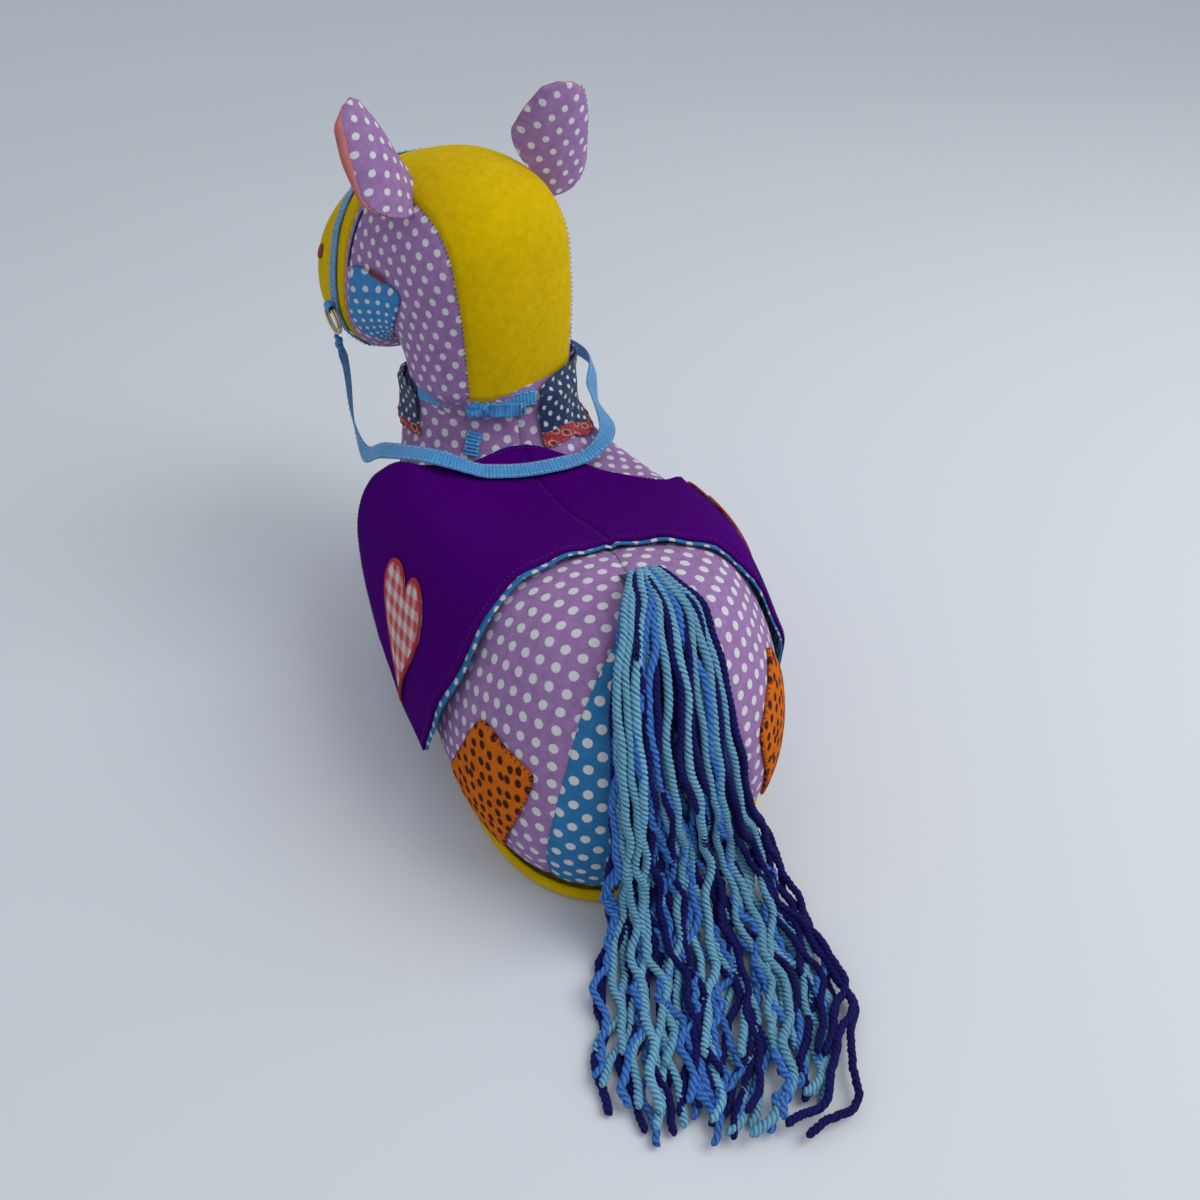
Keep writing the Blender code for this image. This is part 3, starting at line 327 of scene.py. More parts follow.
def cloth_mesh(name, points, cloth=None, marks=None, wrap=False, inside=None, **more):
    """A mesh over one grid, turned so that its faces look away from a point inside."""
    cloth = points[..., :2] if cloth is None else cloth
    marks = marks or {}
    slope = np.cross(np.gradient(points, axis=0), np.gradient(points, axis=1))
    if inside is not None and (slope * (points - np.asarray(inside))).sum() < 0:
        points, cloth = points[:, ::-1], cloth[:, ::-1]
        marks = {key: np.broadcast_to(value, points.shape[:2])[:, ::-1] for key, value in marks.items()}
    return mesh_of(name, [(points, cloth, marks)], wrap, **more)


def weld(mesh):
    """Join the points that fall together at a pole."""
    form = bmesh.new()
    form.from_mesh(mesh)
    bmesh.ops.remove_doubles(form, verts=form.verts, dist=1e-6)
    form.to_mesh(mesh)
    form.free()
    return mesh


toy = bpy.data.collections.new("horse")
bpy.context.scene.collection.children.link(toy)


def piece(name, mesh, material, replaces=(), body="toy", thickness=0.0):
    """A finished piece: it gets its material and its cloth's thickness, rides on a body and replaces CAD nodes."""
    made = bpy.data.objects.new(name, mesh)
    toy.objects.link(made)
    mesh.materials.append(material)
    if thickness:
        solid = made.modifiers.new("thickness", "SOLIDIFY")
        solid.thickness = thickness
        solid.offset = -1
    if body:
        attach(made, body)
    if replaces:
        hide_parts(*replaces)
    return made


# %% [markdown]
# ## The cloths
# Felt is a mat of short fibres: its colour is slightly uneven, its surface scatters light softly, and a faint sheen
# shows at grazing angles. A small class builds each material's nodes, so that a recipe reads as a few short lines.

# %% Material helpers
class Paint:
    """One material's nodes. Each call adds a node and gives its output."""

    def __init__(self, name, roughness=0.9, metallic=0.0, sheen=0.0, specular=0.3, coat=0.0):
        self.material = bpy.data.materials.new(name)
        self.material.use_nodes = True
        self.tree = self.material.node_tree
        self.shader = self.tree.nodes["Principled BSDF"]
        settings = {
            "Roughness": roughness,
            "Metallic": metallic,
            "Sheen Weight": sheen,
            "Sheen Roughness": 0.5,
            "Specular IOR Level": specular,
            "Coat Weight": coat,
        }
        for key, value in settings.items():
            self.shader.inputs[key].default_value = value

    def add(self, kind, *values, out=0, settings=None, **named):
        """A node of a kind, its sockets filled in order or by name, from numbers or from other outputs."""
        node = self.tree.nodes.new("ShaderNode" + kind)
        for key, value in (settings or {}).items():
            setattr(node, key, value)
        pairs = list(zip(node.inputs, values))
        pairs += [(node.inputs[key.replace("_", " ")], value) for key, value in named.items()]
        for socket, value in pairs:
            if isinstance(value, bpy.types.NodeSocket):
                self.tree.links.new(value, socket)
            elif value is not None:
                socket.default_value = value
        return node.outputs[out]

    def math(self, operation, *values):
        """One sum on one or two numbers."""
        return self.add("Math", *values, settings={"operation": operation})

    def vector(self, operation, *values, out=0):
        """One sum on one or two vectors."""
        return self.add("VectorMath", *values, out=out, settings={"operation": operation})

    def mix(self, share, first, second):
        """A colour between two, by a share."""
        node = self.tree.nodes.new("ShaderNodeMix")
        node.data_type = "RGBA"
        for socket, value in ((node.inputs[0], share), (node.inputs[6], first), (node.inputs[7], second)):
            if isinstance(value, bpy.types.NodeSocket):
                self.tree.links.new(value, socket)
            else:
                socket.default_value = (*value, 1.0) if isinstance(value, tuple) else value
        return node.outputs[2]

    def noise(self, size, where=None, detail=2.0, roughness=0.5):
        """A cloudy value from 0 to 1 whose clouds are about size metres across."""
        where = where or self.place()
        return self.add("TexNoise", Vector=where, Scale=1 / size, Detail=detail, Roughness=roughness)

    def place(self):
        """The point's own coordinates, in metres."""
        return self.add("TexCoord", out=3)

    def cloth(self):
        """The point's place on the flat cloth, in metres."""
        return self.add("UVMap", settings={"uv_map": "cloth"})

    def mark(self, name):
        """A named number that the mesh carries."""
        return self.add("Attribute", out=2, settings={"attribute_name": name})

    def ramp(self, value, low, high, start=0.0, end=1.0):
        """A value carried over to another range, and held inside it."""
        return self.add("MapRange", value, low, high, start, end)

    def turned(self, where, degrees, pitch, shift=(0, 0, 0)):
        """Cloth coordinates turned and counted in repeats of a pattern."""
        turn = (0, 0, math.radians(degrees))
        return self.add("Mapping", where, shift, turn, (1 / pitch, 1 / pitch, 1 / pitch))

    def reach(self, square, stretch=1.0):
        """Distance from the middle of each repeat of a pattern, stretched across its second way."""
        centred = self.vector("SUBTRACT", self.vector("FRACTION", square), (0.5, 0.5, 0.0))
        return self.vector("LENGTH", self.vector("MULTIPLY", centred, (1.0, stretch, 0)), out=1)

    def fray(self, size, amount):
        """A small uneven value that frays the edge of a print."""
        return self.math("MULTIPLY", self.math("SUBTRACT", self.noise(size, detail=2), 0.5), amount)

    def wavering(self, scale, detail, amount):
        """Places on the flat cloth, pushed about a little by noise."""
        bend = self.add("TexNoise", Vector=self.cloth(), Scale=scale, Detail=detail, out=1)
        push = self.vector("SUBTRACT", bend, (0.5, 0.5, 0.5))
        push = self.add("VectorMath", push, Scale=amount, settings={"operation": "SCALE"})
        return self.vector("ADD", self.cloth(), push)

    def wave(self, where, scale, way="X", distortion=0.0, detail=2.0):
        """Fine even ridges across one way of the cloth."""
        settings = {"wave_type": "BANDS", "bands_direction": way, "wave_profile": "SIN"}
        return self.add("TexWave", Vector=where, Scale=scale, Distortion=distortion, Detail=detail,
                        settings=settings)

    def finish(self, colour, height=None, depth=0.0002, roughness=None, strength=1.0):
        """Join the colour, the relief (a height from 0 to 1 times a depth) and the roughness to the shader."""
        self.tree.links.new(colour, self.shader.inputs["Base Color"])
        if height is not None:
            bump = self.add("Bump", Strength=strength, Distance=depth, Height=height)
            self.tree.links.new(bump, self.shader.inputs["Normal"])
        if roughness is not None:
            self.tree.links.new(roughness, self.shader.inputs["Roughness"])
        return self.material


def shade(colour, factor):
    """A colour made darker or lighter."""
    return tuple(min(1.0, part * factor) for part in colour)


def felt_ground(paint, colour, contrast=0.25):
    """Felt: clouds of two sizes mottle the colour, and a fine matted grain gives the relief."""
    clouds = paint.noise(0.004, detail=3)
    specks = paint.noise(0.0007, detail=2, roughness=0.7)
    tone = paint.math("ADD", paint.math("MULTIPLY", clouds, 0.5), paint.math("MULTIPLY", specks, 0.5))
    tone = paint.ramp(tone, 0.32, 0.68)
    ground = paint.mix(tone, shade(colour, 1 - contrast), shade(colour, 1 + contrast))
    grain = paint.add("TexNoise", Vector=paint.place(), Scale=2600.0, Detail=3.0, Roughness=0.75,
                      Distortion=0.6)
    return ground, grain


def felt(name, colour, contrast=0.16, sheen=0.03):
    """Plain felt."""
    paint = Paint(name, roughness=0.95, sheen=sheen, specular=0.02)
    ground, grain = felt_ground(paint, colour, contrast)
    return paint.finish(ground, grain, 0.0006)


WHITE_PRINT = (0.78, 0.77, 0.80)


def dotted(name, colour, pitch=0.0085, radius=0.26, degrees=0.0, contrast=0.22, shift=(0, 0, 0),
           dot=WHITE_PRINT):
    """Felt printed with dots on a square lattice: a point is inside a dot where it is nearer to the middle of its
    square than the dot's radius, in repeats of the pattern. Noise frays the edge and wears the print."""
    paint = Paint(name, roughness=0.92, sheen=0.04, specular=0.04)
    ground, grain = felt_ground(paint, colour, contrast)
    square = paint.turned(paint.cloth(), degrees, pitch, shift)
    reach, fray = paint.reach(square), paint.fray(0.0008, 0.07)
    inside = paint.ramp(paint.math("ADD", reach, fray), radius - 0.02, radius + 0.02, 1.0, 0.0)
    worn = paint.mix(paint.ramp(paint.noise(0.0006, detail=3), 0.35, 0.75), shade(dot, 1.0), shade(dot, 0.82))
    height = paint.math("ADD", paint.math("MULTIPLY", grain, 0.8), paint.math("MULTIPLY", inside, 0.12))
    return paint.finish(paint.mix(inside, ground, worn), height, 0.0006)


LILAC = (0.36, 0.20, 0.43)
GUSSET_BLUE = (0.035, 0.20, 0.43)
YELLOW = (0.76, 0.50, 0.0)
VIOLET = (0.072, 0.0, 0.175)
lilac_body = dotted("lilac_body", LILAC)
lilac_head = dotted("lilac_head", LILAC, pitch=0.0080, radius=0.24, degrees=8)
lilac_ear = dotted("lilac_ear", LILAC, pitch=0.0079, radius=0.21, degrees=52)
blue_dotted = dotted("blue_dotted", GUSSET_BLUE, degrees=45)
yellow_felt = felt("yellow_felt", YELLOW, contrast=0.15)
violet_felt = felt("violet_felt", VIOLET, contrast=0.12, sheen=0.0)
coral_felt = felt("coral_felt", (0.62, 0.20, 0.19))
print("materials", len(bpy.data.materials))

# %% [markdown]
# Printed and woven cloths take their patterns from the cloth map, in metres, so a check of 9 mm is 9 mm anywhere.

# %% Pattern finishes
def woven(paint, threads=1900.0):
    """Plain weave: two fine sets of ridges across each other."""
    where = paint.cloth()
    return paint.math("MAXIMUM", paint.wave(where, threads), paint.wave(where, threads, "Y"))


def checked(name, white, red, repeat=0.0090, line=0.0011):
    """Gingham: red bands both ways. Where both cross the cloth is red, and one alone is a set of fine lines."""
    paint = Paint(name, roughness=0.85, sheen=0.15, specular=0.2)
    parts = [paint.add("SeparateXYZ", paint.turned(paint.cloth(), 4, repeat), out=axis) for axis in (0, 1)]
    fine = [paint.add("SeparateXYZ", paint.turned(paint.cloth(), 4, line), out=axis) for axis in (0, 1)]

    def band(value, share, soft):
        wave = paint.math("ABSOLUTE", paint.math("SUBTRACT", paint.math("FRACT", value), 0.5))
        return paint.ramp(wave, share - soft, share + soft, 1.0, 0.0)

    one, two = (band(value, 0.25, 0.012) for value in parts)
    thin = [band(value, 0.30, 0.06) for value in fine]
    both = paint.math("MULTIPLY", one, two)
    single = paint.math("MAXIMUM", paint.math("MULTIPLY", one, thin[0]), paint.math("MULTIPLY", two, thin[1]))
    share = paint.math("MAXIMUM", both, paint.math("MULTIPLY", single, 0.95))
    faded = paint.mix(paint.noise(0.0012, detail=3), shade(red, 0.8), shade(red, 1.25))
    clean = paint.mix(paint.noise(0.004, detail=3), shade(white, 0.93), shade(white, 1.05))
    return paint.finish(paint.mix(share, clean, faded), woven(paint), 0.00012)


def spotted(name, colour, spot, size=0.0066):
    """Felt with dark uneven spots: the middles of a Voronoi pattern's cells, warped a little by noise."""
    paint = Paint(name, roughness=0.95, sheen=0.03, specular=0.03)
    ground, grain = felt_ground(paint, colour, 0.25)
    where, flat = paint.wavering(260.0, 2.0, 0.0014), {"voronoi_dimensions": "2D"}
    cells = paint.add("TexVoronoi", Vector=where, Scale=1 / size, Randomness=0.45, settings=flat)
    inside = paint.ramp(cells, 0.27, 0.35, 1.0, 0.0)
    return paint.finish(paint.mix(inside, ground, spot), grain, 0.0006)


def printed(name, ground, ring, core, pitch=0.0075):
    """A traditional drop print on red: rows of teardrops, each a light ring with a dark core."""
    paint = Paint(name, roughness=0.85, sheen=0.15, specular=0.2)
    reach = paint.reach(paint.turned(paint.wavering(330.0, 1.0, 0.0022), 32, pitch), 1.6)
    outer = paint.ramp(paint.math("ABSOLUTE", paint.math("SUBTRACT", reach, 0.36)), 0.035, 0.07, 1.0, 0.0)
    inner = paint.ramp(reach, 0.13, 0.18, 1.0, 0.0)
    specks = paint.ramp(paint.noise(0.0012, paint.cloth(), 1), 0.62, 0.68)
    cloth = paint.mix(paint.noise(0.003, detail=3), shade(ground, 0.75), shade(ground, 1.2))
    cloth = paint.mix(paint.math("MULTIPLY", specks, 0.7), cloth, ring)
    cloth = paint.mix(outer, cloth, ring)
    return paint.finish(paint.mix(inner, cloth, core), woven(paint), 0.00012)


def denim(name, colour, fleck):
    """Dark twill with small white dots: fine slanting ridges, and dots on a lattice, some of them worn away."""
    paint = Paint(name, roughness=0.9, sheen=0.2, specular=0.15)
    twill = paint.wave(paint.cloth(), 900.0, "DIAGONAL")
    tone = paint.math("MULTIPLY", twill, paint.noise(0.0015, detail=3))
    ground = paint.mix(tone, shade(colour, 0.6), shade(colour, 1.9))
    reach, fray = paint.reach(paint.turned(paint.cloth(), 38, 0.0058)), paint.fray(0.0007, 0.16)
    inside = paint.ramp(paint.math("ADD", reach, fray), 0.18, 0.24, 1.0, 0.0)
    flecks = paint.ramp(paint.noise(0.0011, paint.cloth(), 2), 0.66, 0.72)
    white = paint.math("MAXIMUM", inside, paint.math("MULTIPLY", flecks, 0.6))
    return paint.finish(paint.mix(white, ground, fleck), twill, 0.00015)


def polished(name, colour, shades, polish, cloud, detail, depth, **shader):
    """Plated wire or a glossy button: smooth, with a faint uneven polish."""
    paint = Paint(name, specular=0.5, **shader)
    tone = paint.noise(cloud, detail=detail)
    colour = paint.mix(tone, shade(colour, shades[0]), shade(colour, shades[1]))
    return paint.finish(colour, tone, depth, paint.ramp(tone, 0.2, 0.8, *polish))


def yarn(name, colour, valley_shade, shine=0.10, sheen=0.02):
    """Yarn: fibres run along each ply's winding; the valleys between plies get painted shade, the crests a painted
    highlight.
    """
    paint = Paint(name, roughness=0.75, sheen=sheen, specular=shine)
    crest = paint.mark("crest")
    drawn = paint.add("Mapping", paint.cloth(), (0, 0, 0), (0, 0, 0), (900.0, 22.0, 1.0))
    fibre = paint.add("TexNoise", Vector=drawn, Scale=1.0, Detail=2.0)
    # The crest mark paints shade into the valleys between plies (the valley colour) and a highlight on the crests;
    # fibre noise varies it.
    tone = paint.math("ADD", paint.math("MULTIPLY", crest, 0.62), paint.math("MULTIPLY", fibre, 0.38))
    tone = paint.ramp(tone, 0.18, 0.82)
    bright = paint.mix(paint.mark("tone"), shade(colour, 0.85), shade(colour, 1.18))
    return paint.finish(paint.mix(tone, valley_shade, bright), paint.math("ADD", fibre, crest), 0.0003)


# Each yarn's second colour is the painted shade in the valleys between its plies.
yarn_aqua = yarn("yarn_aqua", (0.19, 0.45, 0.62), (0.015, 0.060, 0.12))
yarn_navy = yarn("yarn_navy", (0.009, 0.008, 0.115), (0.001, 0.001, 0.015))
yarn_mid = yarn("yarn_mid", (0.055, 0.19, 0.56), (0.006, 0.022, 0.12))
gingham = checked("gingham", (0.76, 0.70, 0.69), (0.66, 0.022, 0.030))
orange_felt = spotted("orange_felt", (0.72, 0.155, 0.003), (0.075, 0.014, 0.008))
cheek_cotton = dotted("cheek_cotton", (0.05, 0.25, 0.55), pitch=0.0066, radius=0.22, degrees=20)
saddle_lining_cotton = dotted("saddle_lining_cotton", GUSSET_BLUE, pitch=0.0060, radius=0.26, degrees=30)
trim_print = printed("trim_print", (0.42, 0.022, 0.035), (0.62, 0.40, 0.30), (0.03, 0.02, 0.10))
denim_cloth = denim("denim_cloth", (0.012, 0.035, 0.105), (0.60, 0.62, 0.68))
nostril_felt = felt("nostril_felt", (0.30, 0.085, 0.055))
navy_felt = felt("navy_felt", (0.012, 0.028, 0.15))
button_gloss = polished("button_gloss", (0.012, 0.010, 0.022), (0.7, 1.4), (0.12, 0.26), 0.0015, 2, 0.00002,
                        coat=0.4)
ring_metal = polished("ring_metal", (0.72, 0.60, 0.36), (0.8, 1.1), (0.16, 0.34), 0.002, 3, 0.00003,
                      metallic=1.0)
print("materials", len(bpy.data.materials))

# %% [markdown]
# ## Thread, tubes and ribbons
# Three small builders make most of the trimmings. A tube carries a ring of points along a line. A stitch is a short
# tube that rises over the cloth and dives back in. A ribbon carries a straight cross line, turned to face outward.

# %% Thread, tube and ribbon builders
RIBBON, RIBBON_WIDTH, STITCH_PITCH = 0.0006, 0.0095, 0.0038
FELT, CLOTH, LAYER_GAP, PATCH_LIFT = 0.0014, 0.0009, 0.0005, 0.0006


def unit(vectors):
    """Vectors divided by their lengths."""
    return vectors / (np.linalg.norm(vectors, axis=-1, keepdims=True) + 1e-12)


def along_line(line, outward, pitch, share, start=0.3):
    """Stitches one after another along a line: starts, ends and outward ways, a share of the pitch long."""
    run = run_of(line)
    first = np.arange(pitch * start, run[-1] - pitch * share, pitch)
    parts = ((0, line), (pitch * share, line), (pitch * share / 2, outward))
    return tuple(at_distance(first + further, run, values) for further, values in parts)


def over_edge(line, outward, pitch, inner, outer, slant=0.0, closed=False, spread=0.0):
    """Stitches that cross a line: each starts on one side of it, ends on the other, and leans by the slant."""
    if closed:
        line, outward = np.concatenate([line, line[:1]]), np.concatenate([outward, outward[:1]])
    across = unit(np.cross(np.gradient(line, axis=0), outward))
    run = run_of(line)
    first = np.arange(pitch * 0.5, run[-1] - pitch * 0.4, pitch)
    first = first + dice.uniform(-0.1, 0.1, len(first)) * pitch
    side, out = at_distance(first, run, across), at_distance(first, run, outward)
    reach = 1 + dice.uniform(-spread, spread, (len(first), 1))
    start = at_distance(first, run, line) - side * inner * reach - out * 0.0001
    end = at_distance(np.clip(first + slant, 0, run[-1]), run, line)
    return start, end + side * outer - out * 0.0002, out


def sewing(name, batches, material, radius=0.00024, rise=0.00030, body="toy", rings=6, sides=6):
    """Many stitches in one mesh. A stitch's middle line goes straight from its start to its end and rises by a half
    sine wave; a small ring of points stands round it at each step, thinner at both ends."""
    starts, ends, normals = (np.concatenate(parts) for parts in zip(*batches))
    s = np.linspace(0, 1, rings)
    swell = np.sin(math.pi * s)
    across = unit(np.cross(ends - starts, normals))
    over = unit(np.cross(across, ends - starts))
    rest = starts[:, None] + (ends - starts)[:, None] * s[None, :, None]
    line = rest + normals[:, None] * (rise * swell)[None, :, None]
    turn = np.linspace(0, 2 * math.pi, sides, endpoint=False)
    thick = radius * (0.5 + 0.5 * np.sqrt(swell))
    ring = across[:, None] * np.cos(turn)[None, :, None] + over[:, None] * np.sin(turn)[None, :, None]
    points = line[:, :, None] + thick[None, :, None, None] * ring[:, None]
    around = cloth_places(s[:, None] * 0.002, turn[None] * 0.0002)
    mesh = mesh_of(name, [(one, around, {}) for one in points], wrap=True, seam=True, caps=True)
    if body is None:
        return mesh
    return piece(name, mesh, material, body=body)


def tube(line, radius, sides=12, squash=1.0, reference=(1.0, 0.0, 0.0), shape=None):
    """Rings of points round a line. The ring's two ways are the line's way times a reference, and that times the line
    again. The radius may change along the line, and shape is a factor for each point of each ring."""
    ahead = unit(np.gradient(line, axis=0))
    side = unit(np.cross(ahead, np.asarray(reference)))
    over = np.cross(side, ahead)
    turn = np.linspace(0, 2 * math.pi, sides, endpoint=False)
    radius = np.broadcast_to(radius, len(line))[:, None] * (1 if shape is None else shape)
    width, height = radius * np.cos(turn), radius * np.sin(turn) * squash
    points = line[:, None] + side[:, None] * width[..., None] + over[:, None] * height[..., None]
    return points, cloth_places(run_of(line)[:, None], turn[None] / (2 * math.pi))


def ribbon_grid(line, outward, width=RIBBON_WIDTH, columns=9, crown=0.0):
    """A ribbon's points and its flat cloth: at each step a straight line across, bowed outward a little."""
    ahead = unit(np.gradient(line, axis=0))
    out = unit(outward - ahead * (outward * ahead).sum(-1, keepdims=True))
    wide = np.cross(out, ahead)
    share = np.linspace(-0.5, 0.5, columns)
    width = np.broadcast_to(width, len(line))
    bow = crown * (1 - (2 * share) ** 2)
    sideways = wide[:, None] * (width[:, None] * share)[..., None]
    points = line[:, None] + sideways + out[:, None] * bow[None, :, None]
    return points, cloth_places(run_of(line)[:, None], share * RIBBON_WIDTH), out, wide


def edge_stitches(line, out, wide, lift, width=RIBBON_WIDTH, pitch=STITCH_PITCH):
    """The two rows of running stitches near a ribbon's edges."""
    rows = []
    for side in (-1, 1):
        rows.append(along_line(line + wide * side * width * 0.36 + out * lift, out, pitch, 0.56))
    return rows


def even(line, count):
    """Points at even steps along a line."""
    run = run_of(line)
    return at_distance(np.linspace(0, run[-1], count), run, line)


def knot(name, centre, normal, ahead, size, material, replaces=(), squash=0.62, thick=0.40):
    """A tight knot: a trefoil (sin t + 2 sin 2t, cos t - 2 cos 2t, -sin 3t), flattened along the normal."""
    t = np.linspace(0, 2 * math.pi, 97)
    across = np.cross(normal, ahead)
    flat = np.stack([np.sin(t) + 2 * np.sin(2 * t), np.cos(t) - 2 * np.cos(2 * t), -np.sin(3 * t) * 0.9],
                    -1) / 3 * size
    line = centre + flat[:, :1] * ahead + flat[:, 1:2] * across * 0.8 + flat[:, 2:] * normal * squash
    ridges = 1 + 0.10 * np.cos(4 * np.linspace(0, 2 * math.pi, 14, endpoint=False) + 9 * t[:, None])
    points, cloth = tube(line, size * thick, 14, 0.8, normal, ridges)
    points[-1] = points[0]
    return piece(name, weld(mesh_of(name, [(points, cloth * (1, 0.009), {})], wrap=True, seam=True)),
                 material, replaces)


def thread(name, colour, roughness=0.7):
    """Sewing thread: its plies wind round it, and a fine stripe paints shade in the grooves between them and a
    highlight on the plies.
    """
    paint = Paint(name, roughness=roughness, sheen=0.15, specular=0.3)
    stripe = paint.wave(paint.cloth(), 3000.0, distortion=1.0)
    # The stripe darkens the grooves between plies as painted shade and lightens the plies as painted highlight; it is
    # also the relief.
    return paint.finish(paint.mix(stripe, shade(colour, 0.7), shade(colour, 1.15)), stripe, 0.0001)


white_thread = thread("white_thread", (0.74, 0.75, 0.76))
dark_thread = thread("dark_thread", (0.045, 0.012, 0.055))
navy_thread = thread("navy_thread", (0.012, 0.014, 0.075))
red_thread = thread("red_thread", (0.36, 0.010, 0.03))
burgundy_thread = thread("burgundy_thread", (0.16, 0.010, 0.035))
satin_thread = thread("satin_thread", (0.55, 0.010, 0.022), 0.85)

# %% [markdown]
# ## The reins
# The reins are the toy's one free cord: a length of grosgrain ribbon from ring to ring that hangs beside the neck and
# lies over the front of the saddle. It follows the solid's route, and near the body it turns to lie flat on it.

# %% Ribbon finish
RIBBON_BLUE = (0.050, 0.30, 0.66)


def grosgrain(name, colour):
    """Grosgrain: stout ribs across the ribbon and a fine warp; the colour has a painted highlight on each rib's crest
    and painted shade between ribs.
    """
    paint = Paint(name, roughness=0.62, sheen=0.25, specular=0.35)
    ribs = paint.wave(paint.cloth(), 160.0, "X", 0.4, 1.0)
    warp = paint.wave(paint.cloth(), 900.0, "Y", 1.5)
    cloud = paint.ramp(paint.noise(0.006, detail=3), 0.3, 0.7)
    # The ribs paint a highlight on each crest and shade between them, mixed with slow clouds of tone.
    tone = paint.math("ADD", paint.math("MULTIPLY", ribs, 0.55), paint.math("MULTIPLY", cloud, 0.45))
    colour = paint.mix(tone, shade(colour, 0.62), shade(colour, 1.22))
    height = paint.math("ADD", paint.math("MULTIPLY", ribs, 0.8), paint.math("MULTIPLY", warp, 0.2))
    return paint.finish(colour, height, 0.0004)


ribbon_cloth = grosgrain("ribbon_cloth", RIBBON_BLUE)
print("stitches per metre of ribbon", round(2 / STITCH_PITCH))


def ribbon_piece(name, points, cloth, replaces=()):
    """A piece of ribbon from its points and its flat cloth."""
    return piece(name, mesh_of(name, [(points, cloth, {})]), ribbon_cloth, replaces,
                 thickness=RIBBON)


def ribbon_sewing(name, rows):
    """A ribbon's white running stitches."""
    return sewing(name, rows, white_thread, 0.00028, 0.00022)


# %% Rings' places and the reins
NOSEBAND_PLACE, RING_ANGLE = 0.79, math.radians(108)
RING_RADIUS, RING_WIRE, RING_STAND, LOOP_RADIUS, GAP = 0.0086, 0.0009, 0.0030, 0.0021, 0.0003


def stand(surface, angle, place, lift):
    """A point over a skin and the skin's outward way there."""
    normal = skin_normal(surface, np.float64(angle), np.float64(place))
    return surface(np.float64(angle), np.float64(place)) + normal * lift, normal


ring_frames = []
for side in (1, -1):
    middle, normal = stand(head_point, side * RING_ANGLE, NOSEBAND_PLACE, PATCH_LIFT + RIBBON + RING_STAND)
    upward = head_point(side * math.radians(60), np.float64(NOSEBAND_PLACE)) - middle
    upward = unit(upward - normal * np.dot(upward, normal))
    ring_frames.append((middle - upward * RING_RADIUS, normal, upward))


def saddle_lift(angle):
    """Height of the saddle over the skin: its flaps stand away lower down, the left one the most."""
    turn = ((np.asarray(angle) + math.pi) % (2 * math.pi) - math.pi) / math.radians(110)
    left, right = np.clip(turn, 0, 1.2), np.clip(-turn, 0, 1.2)
    return 0.0016 + 0.0064 * left**1.5 + 0.0100 * left**4 + 0.0029 * right**1.5


REIN_LIFT = 0.0050
rein_ends = [middle - upward * (RING_RADIUS + RING_WIRE + 4 * GAP) for middle, normal, upward in ring_frames]
rein_route_shares = ((1.03, -2.15, 1.02), (1.05, -1.90, 0.84), (1.03, -1.62, 0.76), (0.93, -1.30, 0.86))
rein_far_shares = ((-0.56, -1.62, 0.90), (-0.66, -2.02, 0.93), (-0.42, -2.38, 0.98))
rein_rest = (
    (54, 0.845), (43, 0.862), (31, 0.872), (20, 0.878), (9, 0.880),
    (-2, 0.880), (-13, 0.878), (-24, 0.872), (-35, 0.862), (-44, 0.855),
)
body_size = np.array([BODY_HALF_WIDTH, BODY_HALF_WIDTH, BODY_HEIGHT])
stops = [rein_ends[0], *(np.array(row) * body_size for row in rein_route_shares)]
for degrees, place in rein_rest:
    turn = math.radians(degrees)
    height = saddle_lift(turn) + CLOTH + LAYER_GAP + FELT + 0.6 * REIN_LIFT
    height = height + max(0, abs(degrees) - 30) / 30 * REIN_LIFT
    stops.append(stand(body_point, turn, place, height)[0])
stops += [*(np.array(row) * body_size for row in rein_far_shares), rein_ends[1]]
stops = np.array(stops)
stop_run = run_of(stops)
rein_line = even(spline(np.column_stack([stop_run, stops]), np.linspace(0, stop_run[-1], 400)), 300)
net_turns, net_places = np.meshgrid(np.linspace(0, 2 * math.pi, 160), np.linspace(0.6, 1, 60), indexing="ij")
net = body_point(net_turns, net_places).reshape(-1, 3)
net_out = skin_normal(body_point, net_turns, net_places).reshape(-1, 3)
nearest = np.argmin(((rein_line[:, None] - net[None]) ** 2).sum(-1), axis=1)
close = np.clip(2 - np.linalg.norm(net[nearest] - rein_line, axis=1) / (2 * REIN_LIFT), 0, 1)[:, None]
from_neck = unit(rein_line - np.array([NECK_SHIFT, NECK_BACK, NECK_SEAM * 0.5]))
rein_out = from_neck * (1 - close) + net_out[nearest] * close
twist = 0.35 * np.sin(np.linspace(0, 5.5 * math.pi, 300))[:, None] * (1 - close)
rein_out = rein_out + np.cross(unit(np.gradient(rein_line, axis=0)), rein_out) * twist
taper = np.clip(np.minimum(np.arange(300), np.arange(300)[::-1]) / 9, 0.40, 1)
rein_points, rein_cloth, rein_out, rein_wide = ribbon_grid(rein_line, rein_out, RIBBON_WIDTH * taper, 11,
                                                           0.0004)
reins = ribbon_piece("reins_ribbon", rein_points + rein_out[:, None] * RIBBON / 2, rein_cloth, ("reins",))
inner = slice(14, -14)
rein_rows = edge_stitches(rein_line[inner], rein_out[inner], rein_wide[inner], RIBBON / 2 + 0.00015)
rein_sewing = ribbon_sewing("reins_stitches", rein_rows)
REIN_KNOT_REACH, REIN_KNOT_SIZE = 0.0052, 0.0036
for name, end, toward in (("left", 0, rein_line[12] - rein_line[0]),
                          ("right", -1, rein_line[-13] - rein_line[-1])):
    place = rein_line[end] + unit(toward) * REIN_KNOT_REACH
    knot("reins_knot_" + name, place, rein_out[end], unit(toward), REIN_KNOT_SIZE, ribbon_cloth)

